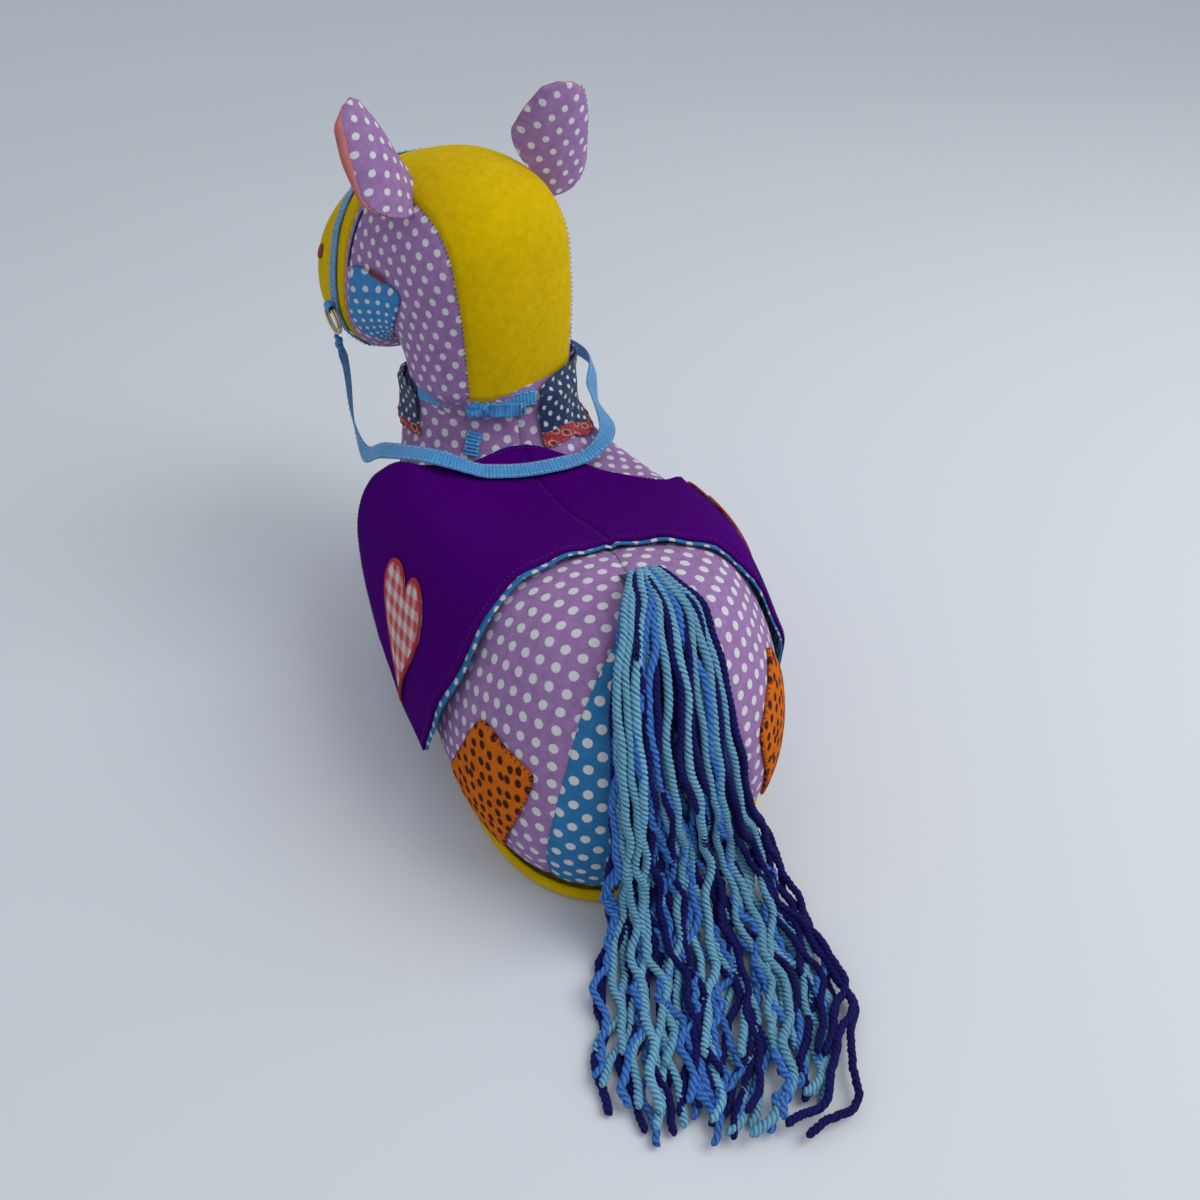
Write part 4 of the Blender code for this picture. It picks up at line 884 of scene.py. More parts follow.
# %% [markdown]
# ## The body's panels
# Two side panels meet along the back and the chest, a blue gusset fills the rump under the tail, and a yellow base
# closes the bottom. Where two panels meet, the thread pulls both in, so each panel dips along its edges. The dip
# follows the distance to the nearest edge, which the running length of the grid gives.

# %% Body panels
SEAM_DIP, SEAM_REACH, SEAM_PITCH, SEAM_RIPPLE = 0.0011, 0.0022, 0.0052, 0.12
body_middle = (0.0, 0.0, 0.069)


def panel_angles(start, end, columns):
    """Angles of a panel's columns between its two seams, closer together near the seams."""
    crowded = (1 - np.cos(np.linspace(0, math.pi, columns + 1))) / 2
    share = crowded * 0.6 + np.linspace(0, 1, columns + 1) * 0.4
    return start[:, None] + (end - start)[:, None] * share[None, :]


def dip_at_edges(points, seams, depth=SEAM_DIP, reach=SEAM_REACH):
    """Height lost to the seams: the dip falls off with the square of the distance to each sewn edge, and the
    thread's pull ripples the felt beside it."""
    left = arc_lengths(points, 1)
    low = arc_lengths(points, 0)
    distances = {"left": left, "right": left[:, -1:] - left, "low": low, "high": low[-1:] - low}
    dip = np.zeros(points.shape[:2])
    for seam in seams:
        away = distances[seam]
        run = low if seam in ("left", "right") else left
        ripple = SEAM_RIPPLE * np.sin(run * 2 * math.pi / SEAM_PITCH) * np.exp(-((away / 0.005) ** 2)) * (away > 0)
        dip = dip + depth * (np.exp(-((away / reach) ** 2)) + ripple)
    return dip, np.minimum.reduce([distances[seam] for seam in seams])


def sewn_panel(name, surface, angles, places, material, seams, inside, replaces, depth=SEAM_DIP):
    """A panel of a skin between its seams."""
    places = np.broadcast_to(places[:, None], angles.shape)
    flat_points = surface(angles, places)
    dip, edge = dip_at_edges(flat_points, seams, depth)
    points = lifted(surface, angles, places, -dip)
    mesh = cloth_mesh(name, points, lie_flat(flat_points), {"edge": edge}, inside=inside)
    made = piece(name, mesh, material, replaces, thickness=FELT)
    return made


def close_at_ends(count, low, high):
    """Places of a panel's rows, closer together near both ends."""
    share = (1 - np.cos(np.linspace(0, math.pi, count + 1))) / 2 * 0.5 + np.linspace(0, 1, count + 1) * 0.5
    return low + (high - low) * share


rows = close_at_ends(150, 0.002, 1.0)
half = half_angle(gusset_angles, rows)
straight = np.full(len(rows), math.pi)
ALL_SEAMS = ("left", "right", "low", "high")
sewn_panel("side_left", body_point, panel_angles(half, straight, 110), rows, lilac_body, ALL_SEAMS,
           body_middle, ("side_panel_left", "body_stuffing"))
sewn_panel("side_right", body_point, panel_angles(straight, 2 * math.pi - half, 110), rows, lilac_body,
           ALL_SEAMS, body_middle, ("side_panel_right",))
low_rows = close_at_ends(90, 0.002, 0.489)
low_half = half_angle(gusset_angles, low_rows)
sewn_panel("gusset", body_point, panel_angles(-low_half, low_half, 48), low_rows, blue_dotted,
           ("left", "right", "low"), body_middle, ("rear_gusset",))

# %% [markdown]
# The base is one yellow piece with a low rim that curls under all round. Its loops are the base seam's loop drawn in
# towards the middle, and the last loop closes in a point under the toy.

# %% Base
rim_turns = np.linspace(0, 2 * math.pi, 241)[:-1]
seam_loop = body_point(rim_turns, np.zeros(240))
loop_middle = seam_loop.mean(axis=0)
rim_steps = np.linspace(0, 1, 18)
rim_table = np.column_stack([np.linspace(0, 1, 5), np.array(base_rim_shares)])
rim_scale, rim_rise = spline(rim_table, rim_steps).T
rim_rise = np.maximum(rim_rise, 0)
rim_rise[0] = rim_rise[0] - 0.10
inner = np.linspace(rim_scale[-1], 0.0, 12)[1:]
rim_scale, rim_rise = np.concatenate([rim_scale, inner]), np.concatenate([rim_rise, np.zeros(11)])
rim_scale[:18] = rim_scale[:18] + 0.042 * np.sin(math.pi * np.minimum(1, 1.15 * rim_steps)) ** 0.8
base_points = loop_middle + (seam_loop - loop_middle)[None] * rim_scale[:, None, None]
base_points[..., 2] = BASE_RISE * rim_rise[:, None]
base_mesh = cloth_mesh("base", base_points, base_points[..., :2], wrap=True, inside=(0, 0, 0.05))
base = piece("base", weld(base_mesh), yellow_felt, ("base_panel",), thickness=FELT)

# %% [markdown]
# ## The head
# The head has dotted sides, a wide yellow gusset from the nape over the crown to the nose, and a yellow nose end.
# The panels work as the body's do, and a hidden lilac band closes the step between body and head at the neck seam.
# The nose is a cap whose last loop nearly closes, and a point closes it.

# %% Head panels
head_middle = tuple((head_point(0.0, 0.45) + head_point(math.pi, 0.45)) / 2)
head_rows = close_at_ends(120, 0.0, MUZZLE_SEAM)
crown = half_angle(crown_angles, head_rows)
straight = np.full(len(head_rows), math.pi)
sewn_panel("head_left", head_point, panel_angles(crown, straight, 80), head_rows, lilac_head, ALL_SEAMS,
           head_middle, ("head_side_left", "head_stuffing"))
sewn_panel("head_right", head_point, panel_angles(straight, 2 * math.pi - crown, 80), head_rows, lilac_head,
           ALL_SEAMS,
           head_middle, ("head_side_right",))
sewn_panel("head_top", head_point, panel_angles(-crown, crown, 70), head_rows, yellow_felt, ALL_SEAMS,
           head_middle, ("head_gusset",))
BAND_TOP_PLACE, BAND_LOW_PLACE, BAND_DEPTH = 0.035, 0.972, 0.0006
band_turns = np.linspace(0, 2 * math.pi, 181)[:-1]
band_top = lifted(head_point, band_turns + HEAD_TURN, BAND_TOP_PLACE, -BAND_DEPTH)
band_low = lifted(body_point, band_turns, BAND_LOW_PLACE, -BAND_DEPTH)
band_share = np.linspace(0, 1, 14)[:, None, None]
band_points = band_low[None] * (1 - band_share) + band_top[None] * band_share
band_map = cloth_places(run_of(band_low)[None], arc_lengths(band_points, 0))
piece("neck_seam_felt", weld(cloth_mesh("neck_seam_felt", band_points, band_map, wrap=True,
                                        inside=tuple(band_low.mean(axis=0)))),
      lilac_body, thickness=CLOTH)
crown_rows = []
for side in (1, -1):
    seam_angle = side * half_angle(crown_angles, head_rows)
    seam_line = lifted(head_point, seam_angle, head_rows, 0.0002)
    crown_rows.append(over_edge(seam_line, skin_normal(head_point, seam_angle, head_rows), 0.0026, 0.0009,
                                0.0009, 0.0006))
sewing("crown_stitches", crown_rows, burgundy_thread, 0.00024, 0.0003)
nose_rows = MUZZLE_SEAM + (1 - MUZZLE_SEAM) * np.linspace(0, 1, 50) ** 0.8
nose_turns, nose_places = np.meshgrid(np.linspace(0, 2 * math.pi, 121)[:-1], nose_rows)
nose_skin = head_point(nose_turns, nose_places)
nose_away = arc_lengths(nose_skin, 0)
nose_points = lifted(head_point, nose_turns, nose_places,
                     -SEAM_DIP * np.exp(-((nose_away / SEAM_REACH) ** 2)))
nose_tip = nose_points[-1].mean(axis=0)
nose_points = np.concatenate([nose_points, np.broadcast_to(nose_tip, (1, *nose_points.shape[1:]))])
nose_mesh = cloth_mesh("nose", nose_points, nose_points[..., :2], wrap=True,
                       inside=tuple(nose_points[0].mean(axis=0)))
nose = piece("nose", weld(nose_mesh), yellow_felt, ("muzzle_cover",), thickness=FELT)

# %% [markdown]
# ## The saddle cloth
# The saddle is one sheet of violet felt over a dotted blue lining that is cut a little larger. Its edges are curves
# in angle and place, mirrored over the back, and the sheet fills in between. A dart along the back pulls it in, fine
# stitches run just inside its edges, and its flaps stand off the body and wave a little.

# %% Saddle
saddle_rear = ((0.0, 0, 0.62), (0.25, 22, 0.588), (0.5, 46, 0.49), (0.75, 62, 0.30), (1.0, 73, 0.125))
saddle_front = (
    (0.0, 0, 0.935), (0.25, 32, 0.905), (0.5, 70, 0.83), (0.75, 108, 0.60), (0.9, 114, 0.30), (1.0, 97, 0.14),
)
saddle_front_right = (
    (0.0, 0, 0.935), (0.25, 30, 0.875), (0.5, 62, 0.715), (0.75, 97, 0.48), (0.9, 108, 0.27), (1.0, 96, 0.14),
)
DART_DEPTH, DART_REACH = 0.0010, 0.0013
SADDLE_EDGE_DIP = 0.0005


def mirrored(table, other=None):
    """A table for both flaps: the angle changes its sign over the back and the place keeps it."""
    return np.concatenate([np.array(other or table, float)[:0:-1] * (-1, -1, 1), np.array(table, float)])


def saddle_point(share, along, lift, waves=1.0):
    """The saddle at a share from the right flap's end -1 to the left's 1, and along from the rear edge 0 to the front
    edge 1. Its height is the flaps' stand-off, the waves of the felt, less the dart along the back."""
    rear = spline(mirrored(saddle_rear), share)
    front = spline(mirrored(saddle_front, saddle_front_right), share)
    both = rear + (front - rear) * np.asarray(along, float)[..., None]
    angle = np.radians(both[..., 0])
    flat = body_point(angle, both[..., 1])
    out = np.abs(share)
    ripple = np.sin(9 * share + 5 * along) * np.sin(3.1 * along + 2 * share)
    height = saddle_lift(angle) + lift + 0.0007 * waves * out * ripple
    edge = np.minimum.reduce([along, 1 - along, (1 - out) * 1.1])
    height = height + 0.0006 * waves * np.sin(31 * share + 2) * np.exp(-((edge / 0.09) ** 2))
    away = np.abs(share) * 0.135
    height = height - DART_DEPTH * waves * np.exp(-((away / DART_REACH) ** 2))
    return flat + skin_normal(body_point, angle, both[..., 1]) * height[..., None]


def saddle_sheet(columns, rows, rear, front):
    """A grid of shares and alongs, its columns closer near the dart and its rows closer near both edges."""
    t = np.linspace(-1, 1, columns)
    share = np.sign(t) * np.abs(t) ** 1.7
    along = close_at_ends(rows, rear, front)
    return np.broadcast_arrays(share[None, :], along[:, None])


lining_lift = CLOTH
felt_lift = CLOTH + LAYER_GAP + FELT
share, along = saddle_sheet(101, 60, -0.020, 1.004)
lining_points = saddle_point(share, along, lining_lift)
lining_flat = lie_flat(lining_points)
lining = piece("saddle_lining_cloth",
               cloth_mesh("saddle_lining_cloth", lining_points, lining_flat, inside=body_middle),
               saddle_lining_cotton, ("saddle_lining",), thickness=CLOTH)
share, along = saddle_sheet(151, 100, 0.0, 1.0)
felt_points = saddle_point(share, along, felt_lift)
edge = np.minimum.reduce([
    arc_lengths(felt_points, 0), arc_lengths(felt_points[::-1], 0)[::-1],
    arc_lengths(felt_points, 1), arc_lengths(felt_points[:, ::-1], 1)[:, ::-1],
])
felt_points = saddle_point(share, along, felt_lift - SADDLE_EDGE_DIP * np.exp(-((edge / 0.0010) ** 2)))
felt_flat = lie_flat(felt_points)
mesh = cloth_mesh("saddle_felt_cloth", felt_points, felt_flat, {"edge": edge}, inside=body_middle)
saddle = piece("saddle_felt_cloth", mesh, violet_felt, ("saddle_felt",), thickness=FELT)


def saddle_line(share, along, lift=felt_lift):
    """A line on the saddle's felt, and the outward way beside it."""
    share, along = np.broadcast_arrays(np.asarray(share, float), np.asarray(along, float))
    line = saddle_point(share, along, lift)
    return line, unit(saddle_point(share, along, lift + 0.001) - line)


RUNNING_PITCH, RUNNING_SHARE = 0.0026, 0.62
sides = np.linspace(-0.985, 0.985, 400)
seam_rows = [
    along_line(*saddle_line(sides, 0.020), RUNNING_PITCH, RUNNING_SHARE),
    along_line(*saddle_line(sides, 0.983), RUNNING_PITCH, RUNNING_SHARE),
]
runs = np.linspace(0.03, 0.97, 120)
for side in (-0.978, 0.978):
    seam_rows.append(along_line(*saddle_line(side, runs), RUNNING_PITCH, RUNNING_SHARE))
dart_line = saddle_line(0.0, runs)
seam_rows.append(over_edge(*dart_line, 0.0031, 0.0011, 0.0011, 0.0003))
saddle_sewing = sewing("saddle_stitches", seam_rows, dark_thread, 0.00020, 0.00022)

# %% [markdown]
# ## Patches
# A patch is cut from cloth and laid on a skin: rings of points grow from its middle to its cut edge. Its own flat
# outline is its cloth map, so checks and spots lie undistorted. The stitches that hold its edge press it down there.

# %% Patches and hearts
def skin_speeds(surface, angle, place):
    """Metres for one radian of angle and for one whole place, at a point of a skin."""
    step = 1e-3
    across = np.linalg.norm(surface(angle + step, place) - surface(angle - step, place)) / (2 * step)
    along = np.linalg.norm(surface(angle, place + step) - surface(angle, place - step)) / (2 * step)
    return np.array([across, along])


def cut_outline(corners, count, rounding=5, ragged=0.0002):
    """A cut outline in metres through its corners: straight edges, rounded corners and a hand's small wavers."""
    corners = np.asarray(corners, float)
    after = np.roll(corners, -1, axis=0)
    share = np.linspace(0, 1, count, endpoint=False)
    line = (corners[:, None] + (after - corners)[:, None] * share[None, :, None]).reshape(-1, 2)
    line = sum(np.roll(line, shift, axis=0) for shift in range(-rounding, rounding + 1)) / (2 * rounding + 1)
    turn = np.linspace(0, 2 * math.pi, len(line), endpoint=False)
    waver = np.sin(7 * turn + corners[0, 0] * 900) + 0.6 * np.sin(13 * turn + 1)
    return line + unit(line - line.mean(axis=0)) * (ragged * waver)[:, None]


def patch(name, surface, centre, outline, lift, thickness, material, replaces, rings=26, puff=0.0004,
          press=0.0004):
    """A cut shape on a skin. centre is an angle and place, outline the cut edge in metres. The height is the lift, a
    low crown in the middle, and the press of the stitches at the edge. Gives the piece and its edge."""
    share = 1 - (1 - np.linspace(0, 1, rings)) ** 1.5
    flat = outline.mean(axis=0) + (outline - outline.mean(axis=0)) * share[:, None, None]
    places = np.array(centre) + flat / skin_speeds(surface, *centre)
    reach = np.linalg.norm(outline - outline.mean(axis=0), axis=1)
    edge = (1 - share)[:, None] * reach[None]
    height = lift(places[..., 0]) if callable(lift) else lift
    height = height + thickness + puff * (1 - share[:, None] ** 2) - press * np.exp(-((edge / 0.0011) ** 2))
    points = lifted(surface, places[..., 0], places[..., 1], height)
    inside = points[0, 0] - skin_normal(surface, *(np.float64(value) for value in centre)) * 0.05
    mesh = weld(cloth_mesh(name, points, flat, {"edge": edge}, wrap=True, inside=inside))
    made = piece(name, mesh, material, replaces, thickness=thickness)
    out = skin_normal(surface, places[-1, :, 0], places[-1, :, 1])
    turned = unit(np.cross(np.gradient(points[-1], axis=0), out))
    facing = np.sign((turned * (points[-1] - points[0])).sum())
    return made, points[-1][:: int(facing)], out[:: int(facing)]


HEART_SIZE, HEART_STRETCH = 0.0270, 1.25
sweep = np.linspace(0, 2 * math.pi, 180, endpoint=False)
heart_outline = np.stack([
    16 * np.sin(sweep) ** 3,
    (13 * np.cos(sweep) - 5 * np.cos(2 * sweep) - 2 * np.cos(3 * sweep) - np.cos(4 * sweep)) * HEART_STRETCH,
], -1) / 16 * HEART_SIZE


def heart_lift(angle):
    """Height of a heart's underside: the flap's stand-off and the felt's height, plus a small gap."""
    return saddle_lift(angle) + felt_lift + GAP * 2.5


hearts = []
for name, centre, outline in (
    ("heart_left", (math.radians(84), 0.320), heart_outline),
    ("heart_right", (math.radians(-84), 0.40), heart_outline * (-1, 1)),
):
    heart, rim, rim_out = patch(name + "_cloth", body_point, centre, outline, heart_lift, CLOTH, gingham,
                                (name,))
    satin = over_edge(rim, rim_out, 0.00072, 0.0030, 0.00045, closed=True, spread=0.10)
    satin = sewing(name + "_edge", [satin], satin_thread, 0.00046, 0.00040)
    hearts += [heart, satin]
print("saddle", cut_size(felt_points), "lining", cut_size(lining_points))

# %% Hip and cheek patches
hip_corners = {"left": ((52, 0.292), (31, 0.248), (46, 0.035), (67, 0.12)),
               "right": ((-48, 0.33), (-31, 0.235), (-38, 0.06), (-63, 0.14))}
cheek_corners = ((87, 0.69), (88, 0.435), (124, 0.31), (145, 0.43), (118, 0.685))


def outline_at(surface, corners, side=1, **more):
    """Corners given as degrees and places, as a cut outline in metres about their middle."""
    corners = np.array(corners, float) * (side * math.pi / 180, 1)
    centre = corners.mean(axis=0)
    return tuple(centre), cut_outline((corners - centre) * skin_speeds(surface, *centre), 40, **more)


for side, name in ((1, "left"), (-1, "right")):
    centre, outline = outline_at(body_point, hip_corners[name])
    made, rim, rim_out = patch("hip_" + name, body_point, centre, outline, PATCH_LIFT, FELT, orange_felt,
                               ("hip_patch_" + name,), press=0.0006)
    blanket = over_edge(rim, rim_out, 0.0029, 0.0017, 0.0003, 0.0004, closed=True, spread=0.25)
    longer = over_edge(rim[::9], rim_out[::9], 0.0210, 0.0030, 0.0016, 0.0012, closed=True, spread=0.4)
    sewing("hip_stitches_" + name, [blanket, longer], red_thread, 0.00040, 0.00040)
    centre, outline = outline_at(head_point, cheek_corners, side)
    made, rim, rim_out = patch("cheek_" + name, head_point, centre, outline, PATCH_LIFT, CLOTH, cheek_cotton,
                               ("cheek_patch_" + name,))
    blanket = over_edge(rim, rim_out, 0.0021, 0.0010, 0.0002, 0.0006, closed=True, spread=0.2)
    sewing("cheek_stitches_" + name, [blanket], navy_thread, 0.00022, 0.00025)
    tacks = []
    for degrees, along in ((90, 0.565), (122, 0.325)):
        spot = lifted(head_point, math.radians(degrees * side), along, PATCH_LIFT)
        k = int(np.argmin(((rim - spot) ** 2).sum(-1)))
        near, near_out = (np.roll(values, 6 - k, axis=0)[:13] for values in (rim, rim_out))
        tacks.append(over_edge(near, near_out, 0.0017, 0.0026, 0.0026, 0.0008))
    sewing("cheek_tacks_" + name, tacks, red_thread, 0.00042, 0.0005)
    centre = (math.radians(76 * side), 0.885)
    turn = np.linspace(0, 2 * math.pi, 60, endpoint=False)
    oval = np.stack([np.cos(turn) * 0.8, np.sin(turn) * 1.2], -1) * 0.0050
    patch("nostril_" + name + "_felt", head_point, centre, oval, PATCH_LIFT, CLOTH, nostril_felt,
          ("nostril_" + name,), rings=14, puff=-0.0004)

# %% [markdown]
# ## Eyes
# The photograph looks at the back of the head, so the eyes are a plain guess: a small dark domed button on a disc of
# navy felt. The button is a profile turned about the skin's outward way.

# %% Eyes and the felt line before the nose
CHEEK_LINE_PLACE = 0.705
EYE_RADIUS, EYE_HEIGHT = 0.0052, 0.0030
button_profile = np.array([
    (0.0, 1.0), (0.3, 0.97), (0.55, 0.88), (0.75, 0.72), (0.88, 0.52), (0.93, 0.40), (0.97, 0.36),
                           (1.0, 0.28), (1.0, 0.14),
    (0.93, 0.03), (0.0, 0.0),
])
for side, name in ((1, "left"), (-1, "right")):
    angle, place = math.radians(51 * side), 0.69
    foot, normal = stand(head_point, angle, place, PATCH_LIFT * 0.5)
    ahead = unit(stand(head_point, angle, place + 0.01, 0)[0] - stand(head_point, angle, place, 0)[0])
    across = np.cross(normal, ahead)
    rows = spline(np.column_stack([np.linspace(0, 1, len(button_profile)), button_profile]),
                  np.linspace(0, 1, 34))
    turn = np.linspace(0, 2 * math.pi, 49)[:-1]
    around = np.cos(turn)[:, None] * ahead + np.sin(turn)[:, None] * across
    reach = np.clip(rows[:, 0], 0, 1)[:, None, None] * EYE_RADIUS
    rise = np.clip(rows[:, 1], 0, 1)[:, None, None] * EYE_HEIGHT * 1.9
    points = foot + around[None] * reach + normal * rise
    points[0], points[-1] = points[0].mean(axis=0), points[-1].mean(axis=0)
    mesh = weld(cloth_mesh("eye_button_" + name, points, wrap=True, inside=foot + normal * EYE_HEIGHT))
    piece("eye_button_" + name, mesh, button_gloss, ("eye_" + name,))
    disc = np.stack([np.cos(sweep[::3]), np.sin(sweep[::3])], -1) * EYE_RADIUS * 1.35
    patch("eye_disc_" + name, head_point, (angle, place), disc, 0.0, CLOTH * 0.7, navy_felt, (),
          rings=10, puff=0.0)
    line_turns = np.radians(np.linspace(60, 88, 50)) * side
    line = lifted(head_point, line_turns, CHEEK_LINE_PLACE, 0.0007)
    outward = skin_normal(head_point, line_turns, np.full(50, CHEEK_LINE_PLACE))
    points, cloth, out, wide = ribbon_grid(line, outward, 0.0013, 5, 0.0003)
    piece("cheek_line_" + name, mesh_of("cheek_line_" + name, [(points, cloth, {})]), navy_felt,
          thickness=0.0006)

# %% [markdown]
# ## The ears
# An ear is a padded leaf: a dotted felt back and a coral lining that shows as a lip along its outer edge. Its rings
# run round the leaf from base to tip. The base is drawn down until it meets the crown, where it is sewn.

# %% Ears
EAR_LENGTH, EAR_HALF_WIDTH, EAR_BULGE, EAR_CUP, EAR_DROP = 0.0565, 0.0223, 0.0032, 0.0115, 0.0035
ear_width_shares = ((0.0, 0.58), (0.14, 0.86), (0.3, 1.0), (0.5, 0.92), (0.7, 0.78), (0.86, 0.60),
                    (0.95, 0.48), (1.0, 0.38))
# Where each ear is sewn: angle, place, turn outwards in degrees, lean outwards and tip forwards as shares of its
# rise, the middle of its seam, the seam's way and how full its lip is on the outer edge
ear_seats = {
    "left": (47.5, 0.593, 30, 0.25, 0.42, (0.0524, -0.11991, 0.24864), (0.28038, 0.79467, -0.53841), 0.0026),
    "right": (46, 0.531, 19, 0.11, -0.233, (-0.02451, -0.13852, 0.24614), (0.77972, 0.21935, 0.58645),
              0.0005),
}
crown_turns, crown_places = np.meshgrid(np.radians(np.linspace(-110, 110, 120)), np.linspace(0.35, 0.80, 80),
                                        indexing="ij")
crown_net = lifted(head_point, crown_turns, crown_places).reshape(-1, 3)
crown_out = skin_normal(head_point, crown_turns, crown_places).reshape(-1, 3)


def ear_ways(side, turned, lean, tip):
    """The three ways of an ear: towards its open side, across it, and up along it."""
    forward = np.array([math.sin(HEAD_TURN), -math.cos(HEAD_TURN), 0])
    out = side * np.array([math.cos(HEAD_TURN), math.sin(HEAD_TURN), 0])
    turned = math.radians(turned)
    open_way = forward * math.cos(turned) + out * math.sin(turned)
    across = out * math.cos(turned) - forward * math.sin(turned)
    rise = unit(np.array([0, 0, 1.0]) + across * lean + open_way * tip)
    return unit(open_way - rise * np.dot(open_way, rise)), unit(across - rise * np.dot(across, rise)), rise


def seat_shift(foot, rise):
    """How far each point of an ear's foot moves along the ear to lie on the crown: any way up, a little way down."""
    shift = np.zeros(len(foot))
    for _ in range(8):
        moved = foot + rise * shift[:, None]
        nearest = np.argmin(((moved[:, None] - crown_net) ** 2).sum(-1), axis=1)
        gap = ((moved - crown_net[nearest]) * crown_out[nearest]).sum(-1)
        shift = np.maximum(shift - gap - 0.0003, -EAR_DROP)
    return shift


def ear_forms(side, seat):
    """The back and the lining of one ear, as rings from base to tip. At height w and share u across, the middle lies
    at half(w) u across and bends to the open side by the cup, u squared; the back bulges by (1 - u^4) sin(pi w)."""
    angle, place, turned, lean, tip, hinge, seam_way, outer_bead = seat
    open_way, across, rise = ear_ways(side, turned, lean, tip)
    base = lifted(head_point, np.array(side * math.radians(angle)), np.array(place), 0.0001)
    w = (1 - (1 - np.linspace(0, 1, 60)) ** 1.15)[:, None]
    closing = np.where(w > 0.93, np.sqrt(np.clip(1.02 - w, 0, 1) / 0.09), 1)
    half = EAR_HALF_WIDTH * spline(ear_width_shares, w)[..., 0] * closing
    half = np.maximum(half, 0.0004)
    low = np.minimum(1, 2.6 * w)

    def at(u, depth, beyond=0.0):
        cup = EAR_CUP * u**2 * half / EAR_HALF_WIDTH * (1 - w / 2) * low
        heel = 0.0042 * np.clip(u, 0, 1) ** 2 * np.clip(1 - w / 0.35, 0, 1) ** 2
        flat = base + rise * (EAR_LENGTH * w + heel)[..., None] + across * (half * u + beyond)[..., None]
        return flat + open_way * (cup + depth)[..., None]

    swell = np.sin(math.pi * np.clip(0.02 + 0.90 * w, 0, 1))
    u = np.sin(np.linspace(-math.pi / 2, math.pi / 2, 34))[None, :]
    ripple = 0.00035 * np.sin(70 * w + 3) * np.abs(u) ** 6
    back = at(u, -(EAR_BULGE * 1.15 * (1 - u**4) * swell + CLOTH) + ripple)
    front = at(u[:, ::-1], np.zeros_like(w * u))
    felt_ring = np.concatenate([back, front], axis=1)
    flat_back = np.stack([half * u, EAR_LENGTH * w * np.ones_like(u)], -1)
    felt_flat = np.concatenate([flat_back, flat_back[:, ::-1]], axis=1)
    # The lip: a bead round each edge, joined by the lining's face and its hidden back. Only the left ear's outer bead
    # stands past the felt's edge, as in the photograph; the others stay behind it
    turn = np.linspace(-0.75 * math.pi, 0.45 * math.pi, 11)[None, :]
    fuller = np.clip((w - 0.12) / 0.55, 0.05, 1) * np.minimum(1, 8 * (1 - w) + 0.15)
    bead = {1: outer_bead * fuller, -1: 0.0005 * fuller}
    spill = {1: 0.15 if side == 1 else -1.6, -1: -1.6}
    parts = []
    for edge in (1, -1):
        turns = turn if edge == 1 else turn[:, ::-1]
        radius = bead[edge]
        parts.append(at(edge * np.ones_like(turns), 0.0010 * fuller + radius * np.sin(turns),
                        edge * radius * (spill[edge] + np.cos(turns))))
        if edge == 1:
            face_u = np.linspace(0.93, -0.93, 22)[None, :]
            parts.append(at(face_u, 0.0006 + 0.0014 * fuller + 0.0006 * (1 - face_u**2) * swell))
    back_u = np.linspace(-0.9, 0.9, 12)[None, :]
    parts.append(at(back_u, 0.0002 * np.ones_like(w * back_u)))
    lip_ring = np.concatenate(parts, axis=1)
    grids = []
    stay = 1 - w**2 * (3 - 2 * w)
    for ring in (felt_ring, lip_ring):
        moved = seat_shift(ring[0], rise)[None] * stay
        grids.append(ring + rise * moved[..., None])
        if ring is felt_ring:
            felt_flat = felt_flat + np.stack([0 * moved, moved], -1)
    edge_line = at(np.full((1, 1), 0.99), -0.0006 * np.ones_like(w))[:, 0]
    edge_line = edge_line + rise * (seat_shift(edge_line[:1], rise) * stay)
    seam_way = unit(np.array(seam_way))
    return grids, felt_flat, np.array(hinge), unit(rise - seam_way
                                                   * np.dot(rise, seam_way)), open_way, edge_line, across


def on_ear(name, mesh, material, replaces=()):
    """A piece of an ear, on no body, its place written into its points."""
    made = piece(name, mesh, material, replaces, body=None)
    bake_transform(made)
    return made


for side, name in ((1, "left"), (-1, "right")):
    rings, felt_flat, base, rise, open_way, edge_line, across = ear_forms(side, ear_seats[name])
    felt_ring, lip_ring = rings
    middle = tuple(felt_ring[20].mean(axis=0))
    mesh = cloth_mesh("ear_felt_" + name, felt_ring, felt_flat, wrap=True, inside=middle, caps=True)
    on_ear("ear_felt_" + name, mesh, lilac_ear, ("ear_" + name,))
    middle = tuple(lip_ring[20].mean(axis=0))
    mesh = cloth_mesh("ear_lining_" + name, lip_ring, wrap=True, inside=middle, caps=True)
    on_ear("ear_lip_" + name, mesh, coral_felt,
                     ("ear_lining_" + name,))
    outward = unit(across - open_way)
    rows = over_edge(edge_line[4:56], np.broadcast_to(outward, (52, 3)), 0.0032, 0.0011, 0.0012, 0.0006)
    mesh = sewing("ear_stitches_" + name, [rows], None, 0.00024, 0.00030, body=None)
    on_ear("ear_stitches_" + name, mesh, burgundy_thread)
print("ears", [round(float(value), 4) for value in base])

# %% [markdown]
# ## The kerchief and the neck tie
# The kerchief is one cloth laid round the front of the neck, open over the nape, where the ribbon ties it. It stands
# off the throat in soft folds, and its lower edge is bound with a red printed band.

# %% Kerchief
KERCHIEF_LIFT = 0.0018
KERCHIEF_START, KERCHIEF_END = math.radians(78), math.radians(347)
neck_middle = (NECK_SHIFT, NECK_BACK, NECK_SEAM)


